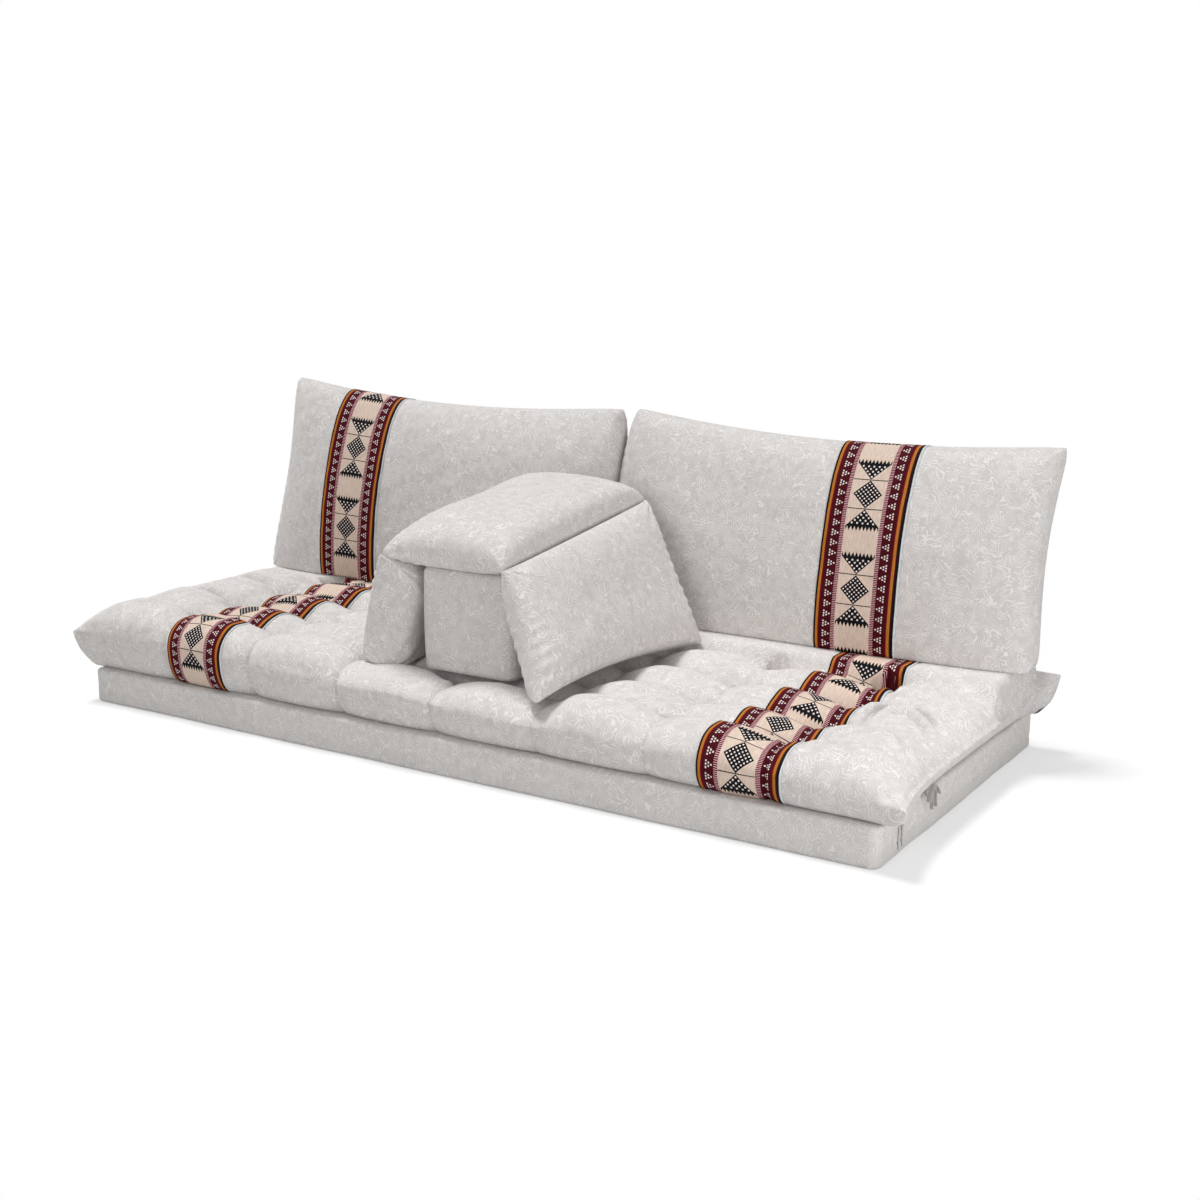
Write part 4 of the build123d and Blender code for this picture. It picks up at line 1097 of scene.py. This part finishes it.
def woven_band():
    """Traditional weave: cream field with dark beaded diamonds between dark red borders.

    U and V are turned into millimetres from the band's left edge and along it."""
    material, tree, shader = start_material("woven_band")
    uv, across, along = uv_axes(tree)
    u, v = across * BAND_MM, along * 1000
    black, maroon, red = srgb(12, 11, 15), srgb(72, 6, 22), srgb(120, 10, 30)
    orange, cream, pale = srgb(190, 118, 46), srgb(226, 204, 188), srgb(222, 226, 230)
    pink, bead = srgb(232, 184, 188), srgb(246, 232, 228)
    fringe = ((v / 3.8).fract() < 0.62).paint(pink, srgb(92, 8, 28))
    colour = (u > 4.2).paint(black, orange)
    for edge, stripe in ((9.7, red), (12.2, maroon), (39.6, fringe), (48.6, cream), (129, fringe),
                         (138, maroon), (165.5, red), (168, orange), (174.5, maroon), (177, black),
                         (183, pale)):
        colour = (u > edge).paint(colour, stripe)

    # beads on the two maroon borders, in rows of triangles
    for off in (u - 19.5, 158.1 - u):
        line = off / 6.0
        column = line.math("FLOOR")
        stagger = (column * 0.5).fract()
        sideways = (line.fract() - 0.5) * 6.0
        lengthwise = ((v / 5.5 + 0.5 + stagger).fract() - 0.5) * 5.5
        spot = (sideways * sideways + lengthwise * lengthwise) < 3.6
        middle = ((v / 22).fract() - 0.5).size() * 22
        inside = (middle < (3 - column) * 2.75) * (column > -0.5) * (column < 2.5)
        colour = (spot * inside).paint(colour, bead)

    # dark figures on the field, which repeat along the band
    repeat, half_field = 207, 38.5
    x = u - 88.8
    y = ((v / repeat).fract() - 0.5) * repeat
    aside, up = x.size(), y.size()
    diamond = (aside / 33 + up / 31.5) < 1
    wedge = (up - 33.5) / 37.6
    triangle = (wedge > 0) * (wedge < 1) * ((aside / half_field) < wedge)
    tooth = ((x / 8.55).fract() - 0.5).size() * 2
    comb = (up > 70.9) * ((up - 70.9) / 10 < 1 - tooth) * (aside < half_field)
    bar = ((up - 32.6).size() < 1.0) * (aside < 40)
    ink = diamond.either(triangle).either(comb).either(bar)
    colour = ink.paint(colour, black)

    # pale beads inside the diamonds and the triangles
    a, b = x / 33, y / 31.5
    cells = [((way * 0.53 + 0.5) * 6).fract() - 0.5 for way in (a + b, b - a)]
    rim = a.size() + b.size() < 0.93
    colour = (diamond * rim * (cells[0] * cells[0] + cells[1] * cells[1] < 0.062)).paint(colour, bead)
    a = x / half_field
    cells = [(way * 3.1).fract() - 0.5 for way in (a + wedge, wedge - a)]
    rim = (wedge < 0.9) * (a.size() < wedge - 0.05)
    colour = (triangle * rim * (cells[0] * cells[0] + cells[1] * cells[1] < 0.062)).paint(colour, bead)

    fuzz = noise(tree, uv, 60.0, 4.0)
    feed(tree, shader, "Base Color", (fuzz.ramp(0.7, 0.35) * 0.16).paint(colour, black))
    shader.inputs["Roughness"].default_value = 0.85
    shader.inputs["Specular IOR Level"].default_value = 0.15
    rib = ((v / 1.1).fract() - 0.5).size()
    grain = ((u / 1.3).fract() - 0.5).size()
    relief(tree, shader, rib + grain * 0.6 + fuzz * 0.4 - ink * 0.3, 0.45, 0.0006)
    return material


band_weave = woven_band()
for side_name, off, start in (("left", -0.202, 0.1125), ("right", 0.129, 0.1035)):
    skin = back_fronts[side_name]
    foot_x, _, level = BACK_FEET[side_name]
    rows = [i for i, row in enumerate(skin) if row[len(row) // 2, 2] > level + 0.0003]
    band("back_band_" + side_name, skin, foot_x + off, BACK_BAND_HALF, rows, "back_cushion_" + side_name,
         "back_" + side_name + "_band", (0, -1, 0.3), start)

seat_whole = np.concatenate([front_under[::-1][1:], upper_points[1:-1], rear_under[:-1]])
for side_name, start in (("left", -0.030), ("right", 0.007)):
    band("mattress_band_" + side_name, seat_whole, MATTRESS_BANDS[side_name], MATTRESS_BAND_HALF,
         range(len(seat_whole)), "base_and_mattress", "seat_band_" + side_name, (0, 0, 1), start)


# Armrest. A foam block in a sewn cover stands on the mattress, and a saddle of three thin
# pillows lies over it: one on top, and one down each side, sewn to the long edges of the top.

BLOCK_X, BLOCK_Y = ARMREST_X, -0.0925
BLOCK_SIZE = (0.236, 0.475)
BLOCK_LOW, BLOCK_HIGH = 0.1934, 0.4135
BLOCK_CORNER, BLOCK_RIM = 0.028, 0.018
BLOCK_FLATS = (0.085, 0.205)


def armrest_foam():
    """The upright block, with rounded corners and a rounded roof, cut into small faces."""
    centre = (BLOCK_X, BLOCK_Y, (BLOCK_LOW + BLOCK_HIGH) / 2)
    block = foam_block((*BLOCK_SIZE, BLOCK_HIGH - BLOCK_LOW), centre, BLOCK_CORNER, 6)
    roof = [e for e in block.edges if all(v.co.z > BLOCK_HIGH - 1e-4 for v in e.verts)
            and len(e.link_faces) == 2 and any(abs(f.normal.z) < 0.1 for f in e.link_faces)]
    round_off(block, roof, BLOCK_RIM, 6)
    cut_in_steps(block, 0, BLOCK_X - BLOCK_SIZE[0] / 2, BLOCK_X + BLOCK_SIZE[0] / 2, 24)
    cut_in_steps(block, 1, BLOCK_Y - BLOCK_SIZE[1] / 2, BLOCK_Y + BLOCK_SIZE[1] / 2, 44)
    cut_in_steps(block, 2, BLOCK_LOW, BLOCK_HIGH, 24)
    return block


def bellied(points):
    """The block's sides stand out a little at half height, as foam does in a tight cover."""
    out = points - np.array([BLOCK_X, BLOCK_Y, 0])
    out[:, 2] = 0
    for axis, flat in enumerate(BLOCK_FLATS):
        out[:, axis] *= np.abs(out[:, axis]) > flat
    out /= np.maximum(np.linalg.norm(out, axis=1, keepdims=True), 1e-9)
    height = np.clip((points[:, 2] - BLOCK_LOW) / (BLOCK_HIGH - BLOCK_LOW), 0, 1)
    belly = 0.004 * np.sin(np.pi * height) + 0.0016 * ripple(points, 0.16, 41)
    return points + out * (belly - 0.001)[:, None]


block_data = mesh_from(armrest_foam(), "armrest_block")
set_vertices(block_data, bellied(vertex_array(block_data)))
new_piece("armrest_block", block_data, "arm_block", cover_cloth,
                    ("arm_block_cover", "arm_block_foam"))

TILT = math.radians(7.0)
PAD_CENTRE = (0, -0.085, 0.464)
PAD_HALF_WIDTH, PAD_HALF_LENGTH = 0.155, 0.277
PAD_GAP, FLAP_GAP = 0.001, 0.0015
SEAM_OUT = 0.0003
PAD_REAR = (0, math.cos(TILT), math.sin(TILT))

pad_corners = [(-PAD_HALF_WIDTH, -PAD_HALF_LENGTH), (PAD_HALF_WIDTH, -PAD_HALF_LENGTH),
               (PAD_HALF_WIDTH, PAD_HALF_LENGTH), (-PAD_HALF_WIDTH, PAD_HALF_LENGTH)]
pad_skins = pillow_sides(pad_corners, (0.045, 0.002, 0.045, 0.002),
                         ((0.079, (0.150, 0.140, 0.160, 0.150), 2.4), (0.052, 0.155, 1.7)),
                         (PAD_CENTRE, (1, 0, 0), PAD_REAR, (0, -math.sin(TILT), math.cos(TILT))),
                         51, (141, 181), fullness=0.75, ear=-0.002, pucker=1.5)
covered("armrest_top_pad", [floor_at(skin, BLOCK_HIGH + PAD_GAP) for skin in pad_skins], "arm_saddle",
        ("arm_top_pad_upper", "arm_top_pad_lower", "arm_top_pad_filling"))


def flap(side_name, angle, front_end, rear_end, crowns, hang, seed):
    """One hanging pillow of the saddle, on the hinge line of its seam.

    The ends of its lower edge are given by how far down and how far along they lie."""
    side = -1 if side_name == "left" else 1
    drop = math.radians(angle)
    down = (side * math.cos(drop), math.sin(drop) * math.sin(TILT), -math.sin(drop) * math.cos(TILT))
    normal = side * np.cross(down, PAD_REAR)
    origin = (side * (PAD_HALF_WIDTH + SEAM_OUT), *PAD_CENTRE[1:])
    corners = [(SEAM_OUT, -PAD_HALF_LENGTH), front_end, rear_end, (SEAM_OUT, PAD_HALF_LENGTH)]

    def hung(skin_side, flat, depths, height):
        """The pillow bends inwards as it hangs."""
        return flat, height - skin_side * hang * (flat[..., 0] / 0.3) ** 2

    skins = pillow_sides(corners, (0.025, 0.035, 0.040, 0.002), crowns, (origin, down, PAD_REAR, normal),
                         seed, (141, 161), fullness=0.75, ear=-0.006, shape=hung, pucker=2.0)
    wall = BLOCK_SIZE[0] / 2 + side * BLOCK_X + FLAP_GAP
    skins[1][..., 0] = side * np.maximum(side * skins[1][..., 0], wall)
    for skin in skins:
        skin[..., 2] = np.maximum(skin[..., 2], seat_top(skin[..., 0], skin[..., 1]) + FLAP_GAP)
    nodes = tuple("arm_" + side_name + part for part in ("_pad_outer", "_pad_inner", "_pad_filling"))
    covered("armrest_flap_" + side_name, skins, "arm_flap_" + side_name, nodes)


flap("right", 60, (0.257, -0.365), (0.338, 0.205),
     ((0.046, (0.110, 0.110, 0.120, 0.105), 2.3), (0.056, (0.065, 0.060, 0.090, 0.105), 2.4)), 0.004, 61)
flap("left", 67, (0.237, -0.290), (0.302, 0.190),
     ((0.030, (0.090, 0.070, 0.090, 0.105), 2.3), (0.095, (0.055, 0.035, 0.090, 0.120), 2.8)), 0.040, 71)
